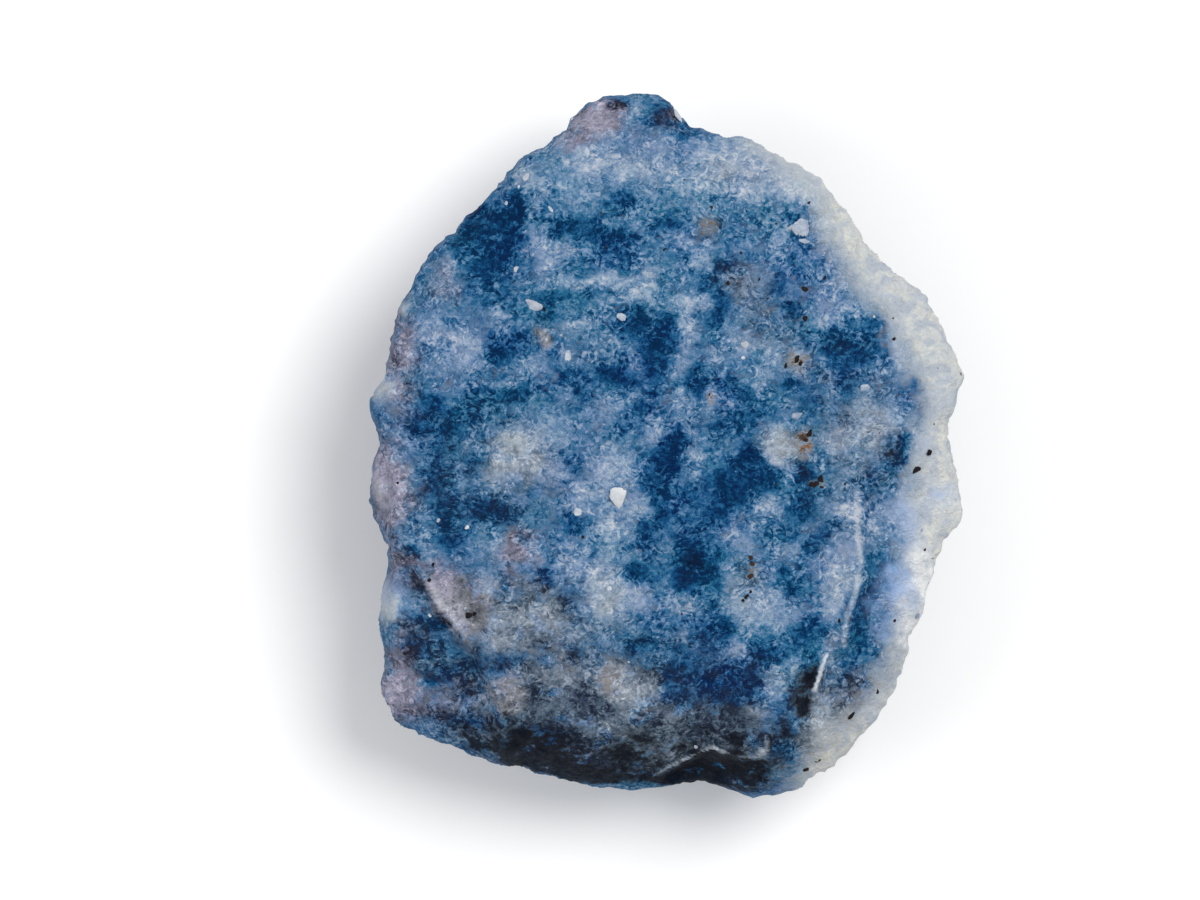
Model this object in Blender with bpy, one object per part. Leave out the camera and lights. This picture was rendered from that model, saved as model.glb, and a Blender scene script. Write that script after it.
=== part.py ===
"""A rough chip of blue spot jasper, lying on its back with its broad broken face up.

+X is right, +Y is away and +Z is up. Lengths are in millimetres until the mesh is made.
The chip is one closed skin, worked out on a square grid that is folded over it like a
napkin: the grid's middle is the broad face, its diamond is the rim, and its four corners
meet under the chip. The broad face is a height over the table with broken steps in it.
The back is a height too: broken planes that rise to the rim, with shell-shaped scoops.
"""

import itertools

import bmesh
import bpy
import numpy as np

MM = 0.001

# Heights, from the table
FACE_HEIGHT = 12.2
FACE_DOME = 0.0032  # fall of the broad face, times the distance from the middle squared
THINNEST = 0.9

# Outline of the chip seen from above, from the top edge clockwise
OUTLINE = [
    (-3.4, 18.8), (-1.1, 19.0), (0.1, 18.7), (0.6, 18.0), (1.3, 17.2), (2.9, 16.8), (4.5, 16.5),
    (6.3, 15.5), (8.3, 14.4), (9.4, 12.9), (10.7, 11.0), (12.2, 9.4), (13.2, 8.8), (14.0, 8.1),
    (15.0, 6.1), (16.1, 3.7), (15.9, 3.0), (15.8, 2.2), (15.1, 1.1), (15.4, -0.7), (16.0, -3.5),
    (15.8, -4.4), (15.0, -5.1), (14.6, -6.0), (14.0, -8.6), (13.2, -10.4), (12.9, -11.7),
    (12.0, -13.8), (10.5, -15.8), (9.2, -17.3), (8.3, -17.6), (7.1, -18.6), (4.6, -19.0),
    (3.0, -18.4), (2.0, -18.2), (-0.1, -18.4), (-1.4, -18.6), (-3.6, -18.5), (-5.7, -18.1),
    (-7.9, -17.5), (-10.0, -16.9), (-12.2, -16.1), (-13.9, -15.4), (-14.6, -14.9), (-15.4, -13.5),
    (-15.4, -12.8), (-15.2, -12.2), (-15.3, -10.5), (-15.5, -9.3), (-15.1, -7.0), (-15.0, -5.4),
    (-15.8, -4.0), (-16.0, -2.2), (-15.5, 0.2), (-16.0, 2.0), (-16.0, 2.6), (-15.2, 3.6),
    (-14.8, 5.4), (-14.4, 7.5), (-13.7, 8.7), (-12.7, 10.4), (-11.4, 11.7), (-10.3, 12.8),
    (-9.2, 13.9), (-7.8, 15.4), (-6.3, 16.5), (-5.3, 17.0), (-5.2, 17.7), (-4.3, 18.4),
]

# Inside the rim the outline is smoothed: averaged over so many degrees to either side, at so many
# directions, and it gives way to the real one as this power of the distance
ROUND_OFF = 14
ROUND_OFF_DIRECTIONS = 9
OUTLINE_POWER = 4

# Rim of the broad face: (direction in degrees, fall at the edge, width of the fall)
RIM_FALL = [
    (0, 0.5, 0.9), (45, 0.6, 1.0), (80, 1.0, 1.3), (110, 1.2, 1.4), (140, 1.2, 1.5),
    (180, 0.8, 1.0), (215, 0.7, 1.0), (240, 2.4, 2.6), (262, 4.6, 4.2), (275, 4.4, 4.0),
    (290, 3.0, 3.0), (305, 1.2, 1.8), (330, 0.6, 1.0),
]
RIM_ROUNDNESS = 1.6

# Broken steps in the broad face: corners, depth, width of the break, further fall per mm
FACE_STEPS = {
    "lower left ledge": (
        [(-15.1, -5.4), (-13.8, -5.9), (-13.2, -7.1), (-12.6, -8.0), (-12.4, -8.8),
         (-11.8, -9.0), (-11.5, -9.7), (-11.2, -10.1), (-10.7, -10.7), (-10.2, -11.3),
         (-9.6, -12.4), (-9.2, -14.0), (-8.8, -16.0), (-8.2, -22.4), (-19.8, -22.4),
         (-19.8, -5.4)],
        0.6, 0.6, 0.22,
    ),
    "left lower layer": (
        [(-17.6, 2.2), (-15.9, 1.8), (-15.4, 0.3), (-15.0, -0.7), (-14.5, -1.6), (-14.5, -2.9),
         (-14.7, -4.3), (-14.9, -5.5), (-15.1, -7.0), (-17.6, -7.3)],
        0.9, 0.5, 0.2,
    ),
    "lowest layer at the left": (
        [(-17.6, -5.7), (-14.8, -5.7), (-14.7, -7.3), (-14.9, -9.8), (-17.6, -10.5)],
        0.9, 0.4, 0.0,
    ),
    "right bevel": (
        [(2.9, 19.2), (5.1, 16.5), (7.2, 14.1), (9.3, 11.1), (11.0, 7.9), (12.3, 5.4),
         (13.3, 2.5), (12.9, 0.3), (11.5, -1.6), (10.4, -2.9), (10.5, -5.4), (10.6, -7.0),
         (9.9, -8.6), (9.7, -9.7), (9.2, -10.8), (8.5, -11.7), (8.2, -12.9), (7.6, -13.9),
         (6.7, -15.4), (5.6, -17.0), (4.6, -20.8), (26.1, -20.8), (26.1, 19.2)],
        0.3, 0.5, 0.22,
    ),
    "bottom chip": (
        [(-0.6, -17.8), (0.8, -17.0), (1.8, -16.4), (2.5, -16.2), (3.0, -16.5), (4.6, -16.7),
         (5.2, -16.4), (5.7, -16.8), (5.9, -17.8), (5.1, -18.4), (3.5, -18.2), (1.8, -17.9),
         (0.3, -18.2)],
        0.8, 0.9, 0.2,
    ),
    "hollow beside the ridge": (
        [(7.0, -11.8), (8.0, -11.6), (8.4, -11.9), (7.9, -13.7), (7.2, -14.4), (6.6, -14.0)],
        0.4, 0.9, 0.1,
    ),
    "upper left crease": (
        [(-11.0, 12.6), (-9.0, 13.8), (-7.6, 13.5), (-7.4, 9.9), (-9.0, 8.4), (-11.4, 9.9)],
        0.25, 0.4, 0.0,
    ),
    "top knob": (
        [(-6.8, 20.8), (-5.9, 16.9), (-3.6, 17.1), (-1.4, 16.6), (1.3, 16.8), (1.9, 17.6),
         (2.1, 20.8)],
        0.6, 0.6, 0.0,
    ),
}

# Wide shallow hollows (depth over 0) and swells (under 0) of the broad face: x, y, radius, depth
FACE_SWELLS = [
    (-8.0, 5.0, 7.0, 0.30), (2.0, 9.0, 8.0, -0.25), (5.0, -3.0, 6.0, 0.30), (-3.0, -6.0, 7.0, -0.35),
    (10.0, 3.0, 5.0, -0.25), (-11.0, -13.0, 4.0, 0.40), (3.0, -12.0, 5.0, 0.25),
]

# Thin raised lines of the broad face: points along the line, height, half width
FACE_RIDGES = {
    "right ridge": (
        [(10.4, -2.9), (10.5, -5.4), (10.6, -7.0), (9.9, -8.6), (9.7, -9.7), (9.6, -11.0)],
        0.20, 0.70,
    ),
    "lower right ridge": (
        [(8.6, -11.5), (8.2, -12.9), (7.9, -13.7), (7.4, -14.1)],
        0.25, 0.70,
    ),
    "lip of the bottom chip": (
        [(-0.6, -17.8), (0.1, -17.4), (0.8, -17.0), (1.8, -16.4), (2.5, -16.2), (2.9, -16.6),
         (4.0, -16.6), (4.7, -16.8), (5.3, -16.4), (5.4, -15.9)],
        0.20, 0.70,
    ),
}

# Broken planes of the back: direction in degrees, where each leaves the table, rise per mm.
# The later ones are steeper and only reach in from the rim.
BACK_PLANES = [
    (8, 3.6, 0.57), (48, 5.4, 0.74), (97, 5.8, 0.46), (138, 6.2, 0.55), (183, 7.4, 0.60),
    (229, 7.8, 0.38), (277, 5.8, 0.31), (333, 4.7, 0.58),
    (25, 10.2, 1.25), (113, 12.6, 1.35), (161, 11.6, 1.15), (207, 13.0, 1.00), (301, 13.6, 0.90),
]

# Shell-shaped scoops broken out of the back: x, y, radius, depth
BACK_SCOOPS = [
    (-9.0, 9.5, 6.5, 1.2), (10.5, -8.0, 7.0, 0.9), (-11.5, -9.0, 6.0, 1.1), (3.0, -14.0, 6.0, 0.9),
    (9.5, 8.0, 5.5, 0.8), (-14.0, -1.0, 4.5, 0.9), (0.5, 14.5, 5.0, 0.9),
]

# Broken steps in the back: corners, height, width of the break
BACK_STEPS = {
    "near ledge": (
        [(-12.0, -20.0), (-6.5, -12.5), (-1.0, -9.8), (4.0, -10.8), (7.0, -13.2), (9.0, -20.0)],
        0.9, 0.5,
    ),
    "far ledge": (
        [(2.6, 8.0), (6.0, 4.8), (9.0, 5.4), (20.0, 8.0), (12.0, 20.0), (5.0, 20.0)],
        0.7, 0.5,
    ),
}

# Wall between the two, which leans in above and below its proudest line. The insets fade out
# inside the rim as this power of the distance.
WALL_ROWS = 8
WALL_INSET_ABOVE = 0.12
WALL_INSET_BELOW = 0.75
WALL_PROUD_AT = 0.2
INSET_POWER = 6

# Broken texture: size of the feature, its depth on the broad face, the wall and the back, seed.
# It stands square to the skin, whose facing turns from sideways to upright over so many wall
# bands, and it goes from the wall's depth to the broad face's or the back's over so many.
SCOOP_TEXTURE = [(4.6, 0.22, 0.12, 0.65, 21), (1.9, 0.10, 0.10, 0.28, 28)]
LUMP_TEXTURE = [(2.6, 0.12, 0.05, 0.22, 31), (0.9, 0.07, 0.05, 0.10, 32)]
FACING_BANDS = 2.5
TEXTURE_BANDS = 3

# Straying of the broken steps' lines: size of the bends, how far they reach, seed
STEP_WANDER = [(1.4, 0.12, 11), (0.5, 0.06, 12)]

GRID = 128  # squares along each side of the folded grid
TRIANGLES = 8600  # aimed at before the skin is cut at the table

STONE_BLUE = (0.13, 0.24, 0.42, 1)
STONE_ROUGHNESS = 0.6


def number_of(cell, seed):
    """A fixed random number from 0 to 1 for each whole-numbered cell of space."""
    mixed = cell[..., 0] * 73856093 ^ cell[..., 1] * 19349663 ^ cell[..., 2] * 83492791
    mixed = (mixed ^ seed * 2654435761) & 0xFFFFFFFF
    for _ in range(2):
        mixed = ((mixed >> 15 ^ mixed) * 73244475) & 0xFFFFFFFF
    return (mixed >> 15 ^ mixed) / 0xFFFFFFFF


def lumps(points, size, seed):
    """Smooth random heights from -1 to 1, whose hills are about one size across."""
    cell = np.floor(points / size).astype(np.int64)
    part = points / size - cell
    part = part * part * (3 - 2 * part)
    total = np.zeros(len(points))
    for corner in itertools.product((0, 1), repeat=3):
        share = np.prod(np.where(corner, part, 1 - part), axis=1)
        total += share * (2 * number_of(cell + corner, seed) - 1)
    return total


def scoops(points, size, seed):
    """Random bowls with sharp ridges between them: about -0.5 in a bowl's floor, 0.5 on a ridge."""
    cell = np.floor(points / size).astype(np.int64)
    nearest = np.full(len(points), np.inf)
    for step in itertools.product((-1, 0, 1), repeat=3):
        near = cell + step
        centre = near + np.stack([number_of(near, seed + i) for i in range(3)], axis=1)
        nearest = np.minimum(nearest, ((points / size - centre) ** 2).sum(axis=1))
    return np.clip(nearest, 0, 1) - 0.5


def depth_inside(x, y, corners):
    """How far each point lies inside an outline of straight edges, and less than 0 outside it."""
    inside = np.zeros(len(x), bool)
    for (x0, y0), (x1, y1) in zip(corners, corners[1:] + corners[:1]):
        crosses = (y0 > y) != (y1 > y)
        inside ^= crosses & (x < x0 + (y - y0) * (x1 - x0) / ((y1 - y0) or 1))
    edge = distance_from(x, y, corners + corners[:1])
    return np.where(inside, edge, -edge)


def distance_from(x, y, line):
    """How far each point is from a line of straight stretches."""
    nearest = np.full(len(x), np.inf)
    for (x0, y0), (x1, y1) in zip(line, line[1:]):
        run, rise = x1 - x0, y1 - y0
        share = np.clip(((x - x0) * run + (y - y0) * rise) / (run * run + rise * rise), 0, 1)
        nearest = np.minimum(nearest, np.hypot(x - x0 - share * run, y - y0 - share * rise))
    return nearest


def rim_radius(degrees):
    """Distance from the middle to the outline in each direction."""
    x, y = np.array(OUTLINE).T
    directions = np.degrees(np.arctan2(y, x))
    return np.interp(degrees, directions, np.hypot(x, y), period=360)


def face_height(x, y):
    """Height of the broad face: a low dome that falls at the rim, less its steps and hollows."""
    distance = np.hypot(x, y)
    degrees = np.degrees(np.arctan2(y, x))
    directions, falls, widths = np.array(RIM_FALL).T
    fall = np.interp(degrees, directions, falls, period=360)
    width = np.interp(degrees, directions, widths, period=360)
    near_rim = np.clip(1 - (rim_radius(degrees) - distance) / width, 0, 1)
    height = FACE_HEIGHT - FACE_DOME * distance**2 - fall * near_rim**RIM_ROUNDNESS
    flat = np.stack([x, y, np.zeros(len(x))], axis=1)
    stray = sum(reach * lumps(flat, size, seed) for size, reach, seed in STEP_WANDER)
    for corners, depth, width, slope in FACE_STEPS.values():
        inside = depth_inside(x + stray, y - stray, corners)
        height -= depth * np.clip(inside / width, 0, 1) + slope * np.clip(inside, 0, None)
    for centre_x, centre_y, radius, depth in FACE_SWELLS:
        away = np.hypot(x - centre_x, y - centre_y) / radius
        height -= depth * np.clip(1 - away**2, 0, 1) ** 2
    for line, ridge_height, half_width in FACE_RIDGES.values():
        away = distance_from(x + stray, y - stray, line) / half_width
        height += ridge_height * np.clip(1 - away, 0, 1)
    return height


def back_height(x, y):
    """Height of the back: the highest of its broken planes, raised where a scoop is broken out."""
    height = np.full(len(x), -np.inf)
    for degrees, start, rise in BACK_PLANES:
        angle = np.radians(degrees)
        height = np.maximum(height, rise * (x * np.cos(angle) + y * np.sin(angle) - start))
    for centre_x, centre_y, radius, depth in BACK_SCOOPS:
        away = np.hypot(x - centre_x, y - centre_y) / radius
        height += depth * np.clip(1 - away**2, 0, 1)
    for corners, rise, width in BACK_STEPS.values():
        height += rise * np.clip(depth_inside(x, y, corners) / width, 0, 1)
    return height


def folded_grid(cells):
    """The square grid: direction in degrees and how far over the chip, from 0 on top to 2 under."""
    line = np.linspace(-1, 1, cells + 1)
    u, v = (side.ravel() for side in np.meshgrid(line, line, indexing="ij"))
    over = np.abs(u) + np.abs(v)
    along_x = np.where(over > 1, 1 - np.abs(v), np.abs(u))
    along_y = np.where(over > 1, 1 - np.abs(u), np.abs(v))
    quarter = 90 * along_y / np.maximum(along_x + along_y, 1e-9)
    degrees = np.where(u >= 0, quarter, 180 - quarter) * np.where(v >= 0, 1, -1)
    return degrees, over


def grid_faces(cells):
    """The grid's squares, with the points that the fold brings together made one point."""
    index = np.arange((cells + 1) ** 2).reshape(cells + 1, cells + 1)
    for edge in (0, -1):
        index[edge, : cells // 2] = index[edge, : cells // 2 : -1]
        index[: cells // 2, edge] = index[: cells // 2 : -1, edge]
    index[[0, 0, -1, -1], [0, -1, 0, -1]] = index[-1, -1]
    squares = [index[:-1, :-1], index[1:, :-1], index[1:, 1:], index[:-1, 1:]]
    return np.stack([corner.ravel() for corner in squares], axis=1)


def chip_points(cells):
    """The chip's skin as an array of points, one for each point of the folded grid."""
    degrees, over = folded_grid(cells)
    band = WALL_ROWS / cells
    angle = np.radians(degrees)
    around = np.stack([np.cos(angle), np.sin(angle)], axis=1)
    rim = rim_radius(degrees)
    turns = np.linspace(-ROUND_OFF, ROUND_OFF, ROUND_OFF_DIRECTIONS)
    round_rim = np.mean([rim_radius(degrees + turn) for turn in turns], axis=0)

    def placed(share, inset):
        outline = round_rim + (rim - round_rim) * share**OUTLINE_POWER
        radius = share * outline - inset * share**INSET_POWER
        return radius[:, None] * around

    above = placed(np.clip(over / (1 - band), 0, 1), WALL_INSET_ABOVE)
    below = placed(np.clip((2 - over) / (1 - band), 0, 1), WALL_INSET_BELOW)
    top = face_height(*above.T)
    under = np.minimum(back_height(*below.T), face_height(*below.T) - THINNEST)
    down_wall = np.clip((over - 1 + band) / (2 * band), 0, 1)
    leaning = WALL_INSET_ABOVE + WALL_PROUD_AT * (WALL_INSET_BELOW - WALL_INSET_ABOVE)
    proud = np.interp(down_wall, (0, WALL_PROUD_AT, 1), (0, leaning, 0))
    flat = above + (below - above) * down_wall[:, None] + around * proud[:, None]
    points = np.column_stack([flat, top + (under - top) * down_wall])

    facing = np.radians(90 * np.clip((1 - over) / (FACING_BANDS * band), -1, 1))
    outward = np.column_stack([around * np.cos(facing)[:, None], np.sin(facing)])
    place = (1 - over) / (TEXTURE_BANDS * band)
    rough = np.zeros(len(points))
    for texture, field in ((SCOOP_TEXTURE, scoops), (LUMP_TEXTURE, lumps)):
        for size, face, wall, back, seed in texture:
            rough += np.interp(place, (-1, 0, 1), (back, wall, face)) * field(points, size, seed)
    return points + outward * rough[:, None]


def thinned(mesh, triangles):
    """The same skin with fewer triangles, kept where the stone is broken and not where it is flat."""
    draft = bpy.data.objects.new("draft", mesh)
    bpy.context.scene.collection.objects.link(draft)
    thin = draft.modifiers.new("Thin out", "DECIMATE")
    thin.ratio = triangles / (2 * len(mesh.polygons))
    result = bpy.data.meshes.new_from_object(draft.evaluated_get(bpy.context.evaluated_depsgraph_get()))
    bpy.data.objects.remove(draft)
    return result


def cut_at_the_table(mesh):
    """Cuts the skin off at the table, which leaves the flat spot that the chip rests on."""
    skin = bmesh.new()
    skin.from_mesh(mesh)
    bmesh.ops.triangulate(skin, faces=skin.faces)
    everything = skin.verts[:] + skin.edges[:] + skin.faces[:]
    cut = bmesh.ops.bisect_plane(
        skin, geom=everything, dist=1e-7, plane_co=(0, 0, 0), plane_no=(0, 0, 1), clear_inner=True
    )
    border = [edge for edge in cut["geom_cut"] if isinstance(edge, bmesh.types.BMEdge)]
    bmesh.ops.contextual_create(skin, geom=border)
    bmesh.ops.triangulate(skin, faces=skin.faces)
    bmesh.ops.recalc_face_normals(skin, faces=skin.faces)
    skin.to_mesh(mesh)
    skin.free()


def stone_material():
    """Greyish blue stone, dull where it is broken."""
    material = bpy.data.materials.new("stone")
    material.use_nodes = True
    shader = material.node_tree.nodes["Principled BSDF"]
    shader.inputs["Base Color"].default_value = STONE_BLUE
    shader.inputs["Roughness"].default_value = STONE_ROUGHNESS
    shader.inputs["Metallic"].default_value = 0
    return material


def make_stone():
    """The chip, as one object at its place on the table."""
    draft = bpy.data.meshes.new("stone draft")
    draft.from_pydata((chip_points(GRID) * MM).tolist(), [], grid_faces(GRID).tolist())
    draft.validate()
    skin = bmesh.new()
    skin.from_mesh(draft)
    bmesh.ops.delete(skin, geom=[point for point in skin.verts if not point.link_faces], context="VERTS")
    skin.to_mesh(draft)
    skin.free()
    mesh = thinned(draft, TRIANGLES)
    mesh.name = "stone"
    cut_at_the_table(mesh)
    mesh.materials.append(stone_material())
    stone = bpy.data.objects.new("stone", mesh)
    bpy.context.scene.collection.objects.link(stone)
    return stone


for old in list(bpy.data.objects):
    bpy.data.objects.remove(old)
make_stone()
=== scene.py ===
import itertools

import bpy
import numpy as np
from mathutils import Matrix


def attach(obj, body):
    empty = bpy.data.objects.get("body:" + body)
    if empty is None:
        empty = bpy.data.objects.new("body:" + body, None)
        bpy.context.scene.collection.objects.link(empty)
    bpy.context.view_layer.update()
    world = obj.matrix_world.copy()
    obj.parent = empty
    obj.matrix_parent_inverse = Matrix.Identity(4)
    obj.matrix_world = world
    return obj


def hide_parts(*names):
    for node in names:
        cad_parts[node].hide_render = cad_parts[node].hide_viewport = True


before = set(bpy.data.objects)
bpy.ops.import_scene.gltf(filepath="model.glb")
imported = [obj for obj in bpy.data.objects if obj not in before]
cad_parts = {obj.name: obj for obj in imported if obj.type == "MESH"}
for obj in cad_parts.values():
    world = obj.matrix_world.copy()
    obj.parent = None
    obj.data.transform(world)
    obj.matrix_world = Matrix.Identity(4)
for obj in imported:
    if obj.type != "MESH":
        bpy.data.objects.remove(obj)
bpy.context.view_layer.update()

mm = 0.001
print("frame loaded")


# Random fields, worked out on whole arrays of points

def numberOf(cell, seed):
    # a fixed random number from 0 to 1 for each whole-numbered cell of space: its coordinates hashed
    mixed = cell[..., 0] * 73856093 ^ cell[..., 1] * 19349663 ^ cell[..., 2] * 83492791
    mixed = (mixed ^ seed * 2654435761) & 0xFFFFFFFF
    for _ in range(2):
        mixed = ((mixed >> 15 ^ mixed) * 73244475) & 0xFFFFFFFF
    return (mixed >> 15 ^ mixed) / 0xFFFFFFFF


def lumps(points, size, seed):
    # smooth hills from -1 to 1: the random numbers of a cell's eight corners, mixed by the smooth step
    # of the place inside it
    cell = np.floor(points / size).astype(np.int64)
    part = points / size - cell
    part = part * part * (3 - 2 * part)
    total = np.zeros(len(points))
    for corner in itertools.product((0, 1), repeat=3):
        share = np.prod(np.where(corner, part, 1 - part), axis=1)
        total += share * (2 * numberOf(cell + corner, seed) - 1)
    return total


def lumpSum(points, layers, reseed=0):
    # lumps of several sizes added up: each layer has its size, amount and seed
    return sum(amount * lumps(points, size, seed + reseed) for size, amount, seed in layers)


def scoops(points, size, seed):
    # bowls with sharp ridges between: the squared distance to the nearest of one random centre per cell,
    # less a half
    cell = np.floor(points / size).astype(np.int64)
    nearest = np.full(len(points), np.inf)
    for step in itertools.product((-1, 0, 1), repeat=3):
        near = cell + step
        centre = near + np.stack([numberOf(near, seed + i) for i in range(3)], axis=1)
        nearest = np.minimum(nearest, ((points / size - centre) ** 2).sum(axis=1))
    return np.clip(nearest, 0, 1) - 0.5


# The stone's shape, in mm: the same values as the solid, with finer texture
stone = {
    "faceHeight": 12.2,
    "faceDome": 0.0032,
    "thinnest": 0.9,
    "outline": [
        (-3.4, 18.8), (-1.1, 19), (0.1, 18.7), (0.6, 18), (1.3, 17.2), (2.9, 16.8), (4.5, 16.5),
        (6.3, 15.5), (8.3, 14.4), (9.4, 12.9), (10.7, 11), (12.2, 9.4), (13.2, 8.8), (14, 8.1), (15, 6.1),
        (16.1, 3.7), (15.9, 3), (15.8, 2.2), (15.1, 1.1), (15.4, -0.7), (16, -3.5), (15.8, -4.4),
        (15, -5.1), (14.6, -6), (14, -8.6), (13.2, -10.4), (12.9, -11.7), (12, -13.8), (10.5, -15.8),
        (9.2, -17.3), (8.3, -17.6), (7.1, -18.6), (4.6, -19), (3, -18.4), (2, -18.2), (-0.1, -18.4),
        (-1.4, -18.6), (-3.6, -18.5), (-5.7, -18.1), (-7.9, -17.5), (-10, -16.9), (-12.2, -16.1),
        (-13.9, -15.4), (-14.6, -14.9), (-15.4, -13.5), (-15.4, -12.8), (-15.2, -12.2), (-15.3, -10.5),
        (-15.5, -9.3), (-15.1, -7), (-15, -5.4), (-15.8, -4), (-16, -2.2), (-15.5, 0.2), (-16, 2),
        (-16, 2.6), (-15.2, 3.6), (-14.8, 5.4), (-14.4, 7.5), (-13.7, 8.7), (-12.7, 10.4), (-11.4, 11.7),
        (-10.3, 12.8), (-9.2, 13.9), (-7.8, 15.4), (-6.3, 16.5), (-5.3, 17), (-5.2, 17.7), (-4.3, 18.4),
    ],
    "roundOff": 14,  # degrees to either side that the smooth inner outline averages over
    "jagsFade": 4,  # power of the way outwards with which the jagged outline takes over from it
    "rimFall": [  # direction in degrees, fall at the edge, width of the fall
        (0, 0.5, 0.9), (45, 0.6, 1), (80, 1, 1.3), (110, 1.2, 1.4), (140, 1.2, 1.5),
        (180, 0.8, 1), (215, 0.7, 1), (240, 2.4, 2.6), (262, 4.6, 4.2), (275, 4.4, 4),
        (290, 3, 3), (305, 1.2, 1.8), (330, 0.6, 1),
    ],
    "rimRoundness": 1.6,
    "faceSteps": [  # corners, depth, width of the break, further fall per mm
        ([(-15.1, -5.4), (-13.8, -5.9), (-13.2, -7.1), (-12.6, -8), (-12.4, -8.8), (-11.8, -9),
          (-11.5, -9.7), (-11.2, -10.1), (-10.7, -10.7), (-10.2, -11.3), (-9.6, -12.4), (-9.2, -14),
          (-8.8, -16), (-8.2, -22.4), (-19.8, -22.4), (-19.8, -5.4)], 0.6, 0.3, 0.22),  # lower left ledge
        ([(-17.6, 2.2), (-15.9, 1.8), (-15.4, 0.3), (-15, -0.7), (-14.5, -1.6), (-14.5, -2.9),
          (-14.7, -4.3), (-14.9, -5.5), (-15.1, -7), (-17.6, -7.3)], 0.9, 0.5, 0.2),  # left lower layer
        ([(-17.6, -5.7), (-14.8, -5.7), (-14.7, -7.3), (-14.9, -9.8), (-17.6, -10.5)], 0.9, 0.4, 0),
        ([(2.9, 19.2), (5.1, 16.5), (7.2, 14.1), (9.3, 11.1), (11, 7.9), (12.3, 5.4), (13.3, 2.5),
          (12.9, 0.3), (11.5, -1.6), (10.4, -2.9), (10.5, -5.4), (10.6, -7), (9.9, -8.6),
          (9.7, -9.7), (9.2, -10.8), (8.5, -11.7), (8.2, -12.9), (7.6, -13.9), (6.7, -15.4),
          (5.6, -17), (4.6, -20.8), (26.1, -20.8), (26.1, 19.2)], 0.3, 0.5, 0.22),  # right bevel
        ([(-0.6, -17.8), (0.8, -17), (1.8, -16.4), (2.5, -16.2), (3, -16.5), (4.6, -16.7),
          (5.2, -16.4), (5.7, -16.8), (5.9, -17.8), (5.1, -18.4), (3.5, -18.2), (1.8, -17.9),
          (0.3, -18.2)], 0.8, 0.6, 0.3),  # bottom chip
        ([(7, -11.8), (8, -11.6), (8.4, -11.9), (7.9, -13.7), (7.2, -14.4), (6.6, -14)],
         0.4, 0.9, 0.1),  # hollow beside the ridge
        ([(-11, 12.6), (-9, 13.8), (-7.6, 13.5), (-7.4, 9.9), (-9, 8.4), (-11.4, 9.9)],
         0.25, 0.4, 0),  # upper left crease
        ([(-6.8, 20.8), (-5.9, 16.9), (-3.6, 17.1), (-1.4, 16.6), (1.3, 16.8), (1.9, 17.6),
          (2.1, 20.8)], 0.6, 0.6, 0),  # top knob
    ],
    "stepWander": [(1.4, 0.12, 11), (0.5, 0.06, 12)],  # size of bends, how far the steps stray, seed
    "faceSwells": [  # x, y, radius, depth
        (-8, 5, 7, 0.3), (2, 9, 8, -0.25), (5, -3, 6, 0.3), (-3, -6, 7, -0.35),
        (10, 3, 5, -0.25), (-11, -13, 4, 0.4), (3, -12, 5, 0.25),
    ],
    "faceRidges": [  # points along the line, height, half width
        ([(10.4, -2.9), (10.5, -5.4), (10.6, -7), (9.9, -8.6), (9.7, -9.7), (9.6, -11)], 0.22, 0.45),
        ([(8.6, -11.5), (8.2, -12.9), (7.9, -13.7), (7.4, -14.1)], 0.3, 0.4),
        ([(-0.6, -17.8), (0.1, -17.4), (0.8, -17), (1.8, -16.4), (2.5, -16.2), (2.9, -16.6),
          (4, -16.6), (4.7, -16.8), (5.3, -16.4), (5.4, -15.9)], 0.28, 0.35),  # lip of the bottom chip
    ],
    "backPlanes": [  # direction in degrees, where each leaves the table, rise per mm
        (8, 3.6, 0.57), (48, 5.4, 0.74), (97, 5.8, 0.46), (138, 6.2, 0.55), (183, 7.4, 0.6),
        (229, 7.8, 0.38), (277, 5.8, 0.31), (333, 4.7, 0.58),
        (25, 10.2, 1.25), (113, 12.6, 1.35), (161, 11.6, 1.15), (207, 13, 1), (301, 13.6, 0.9),
    ],
    "backScoops": [  # x, y, radius, depth
        (-9, 9.5, 6.5, 1.2), (10.5, -8, 7, 0.9), (-11.5, -9, 6, 1.1), (3, -14, 6, 0.9),
        (9.5, 8, 5.5, 0.8), (-14, -1, 4.5, 0.9), (0.5, 14.5, 5, 0.9),
    ],
    "backSteps": [  # corners, height, width of the break
        ([(-12, -20), (-6.5, -12.5), (-1, -9.8), (4, -10.8), (7, -13.2), (9, -20)], 0.9, 0.5),
        ([(2.6, 8), (6, 4.8), (9, 5.4), (20, 8), (12, 20), (5, 20)], 0.7, 0.5),
    ],
    "gridCells": 310,
    "wallShare": 0.0625,  # of the fold that the wall takes to either side of the rim
    "wallInsetAbove": 0.12,
    "wallInsetBelow": 0.75,
    "insetFade": 6,
    "wallProudAt": 0.2,  # how far down the wall it stands proudest
    "turnsOver": 2.5,  # wall shares in which the surface turns from facing up to facing out
    "texturesBlend": 3,  # wall shares in which one texture becomes the next
    # size of the feature, its depth on the broad face, the wall and the back, and its seed
    "scoopTexture": [(4.6, 0.22, 0.12, 0.65, 21), (1.9, 0.1, 0.1, 0.28, 28), (0.7, 0.05, 0.08, 0.14, 91)],
    "lumpTexture": [(2.6, 0.12, 0.05, 0.22, 31), (0.9, 0.07, 0.05, 0.1, 32), (0.38, 0.03, 0.05, 0.08, 93)],
    "rimNicks": [(1.3, 0.07, 41), (0.55, 0.07, 42), (0.25, 0.04, 43)],  # size along the rim, reach, seed
    "nickBase": 0.9,  # reaches that the rim stands out where a jag comes to its point
    "flakes": [(2.2, 0.09, 61), (1, 0.05, 62)],  # thin layers: size of bends, thickness, seed
    "flakesPerBend": 2.5,
    "flakeFraying": 0.4,  # share of bends a third as large
    "flakeSlope": 0.25,  # share of each flake that slopes
}


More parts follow.
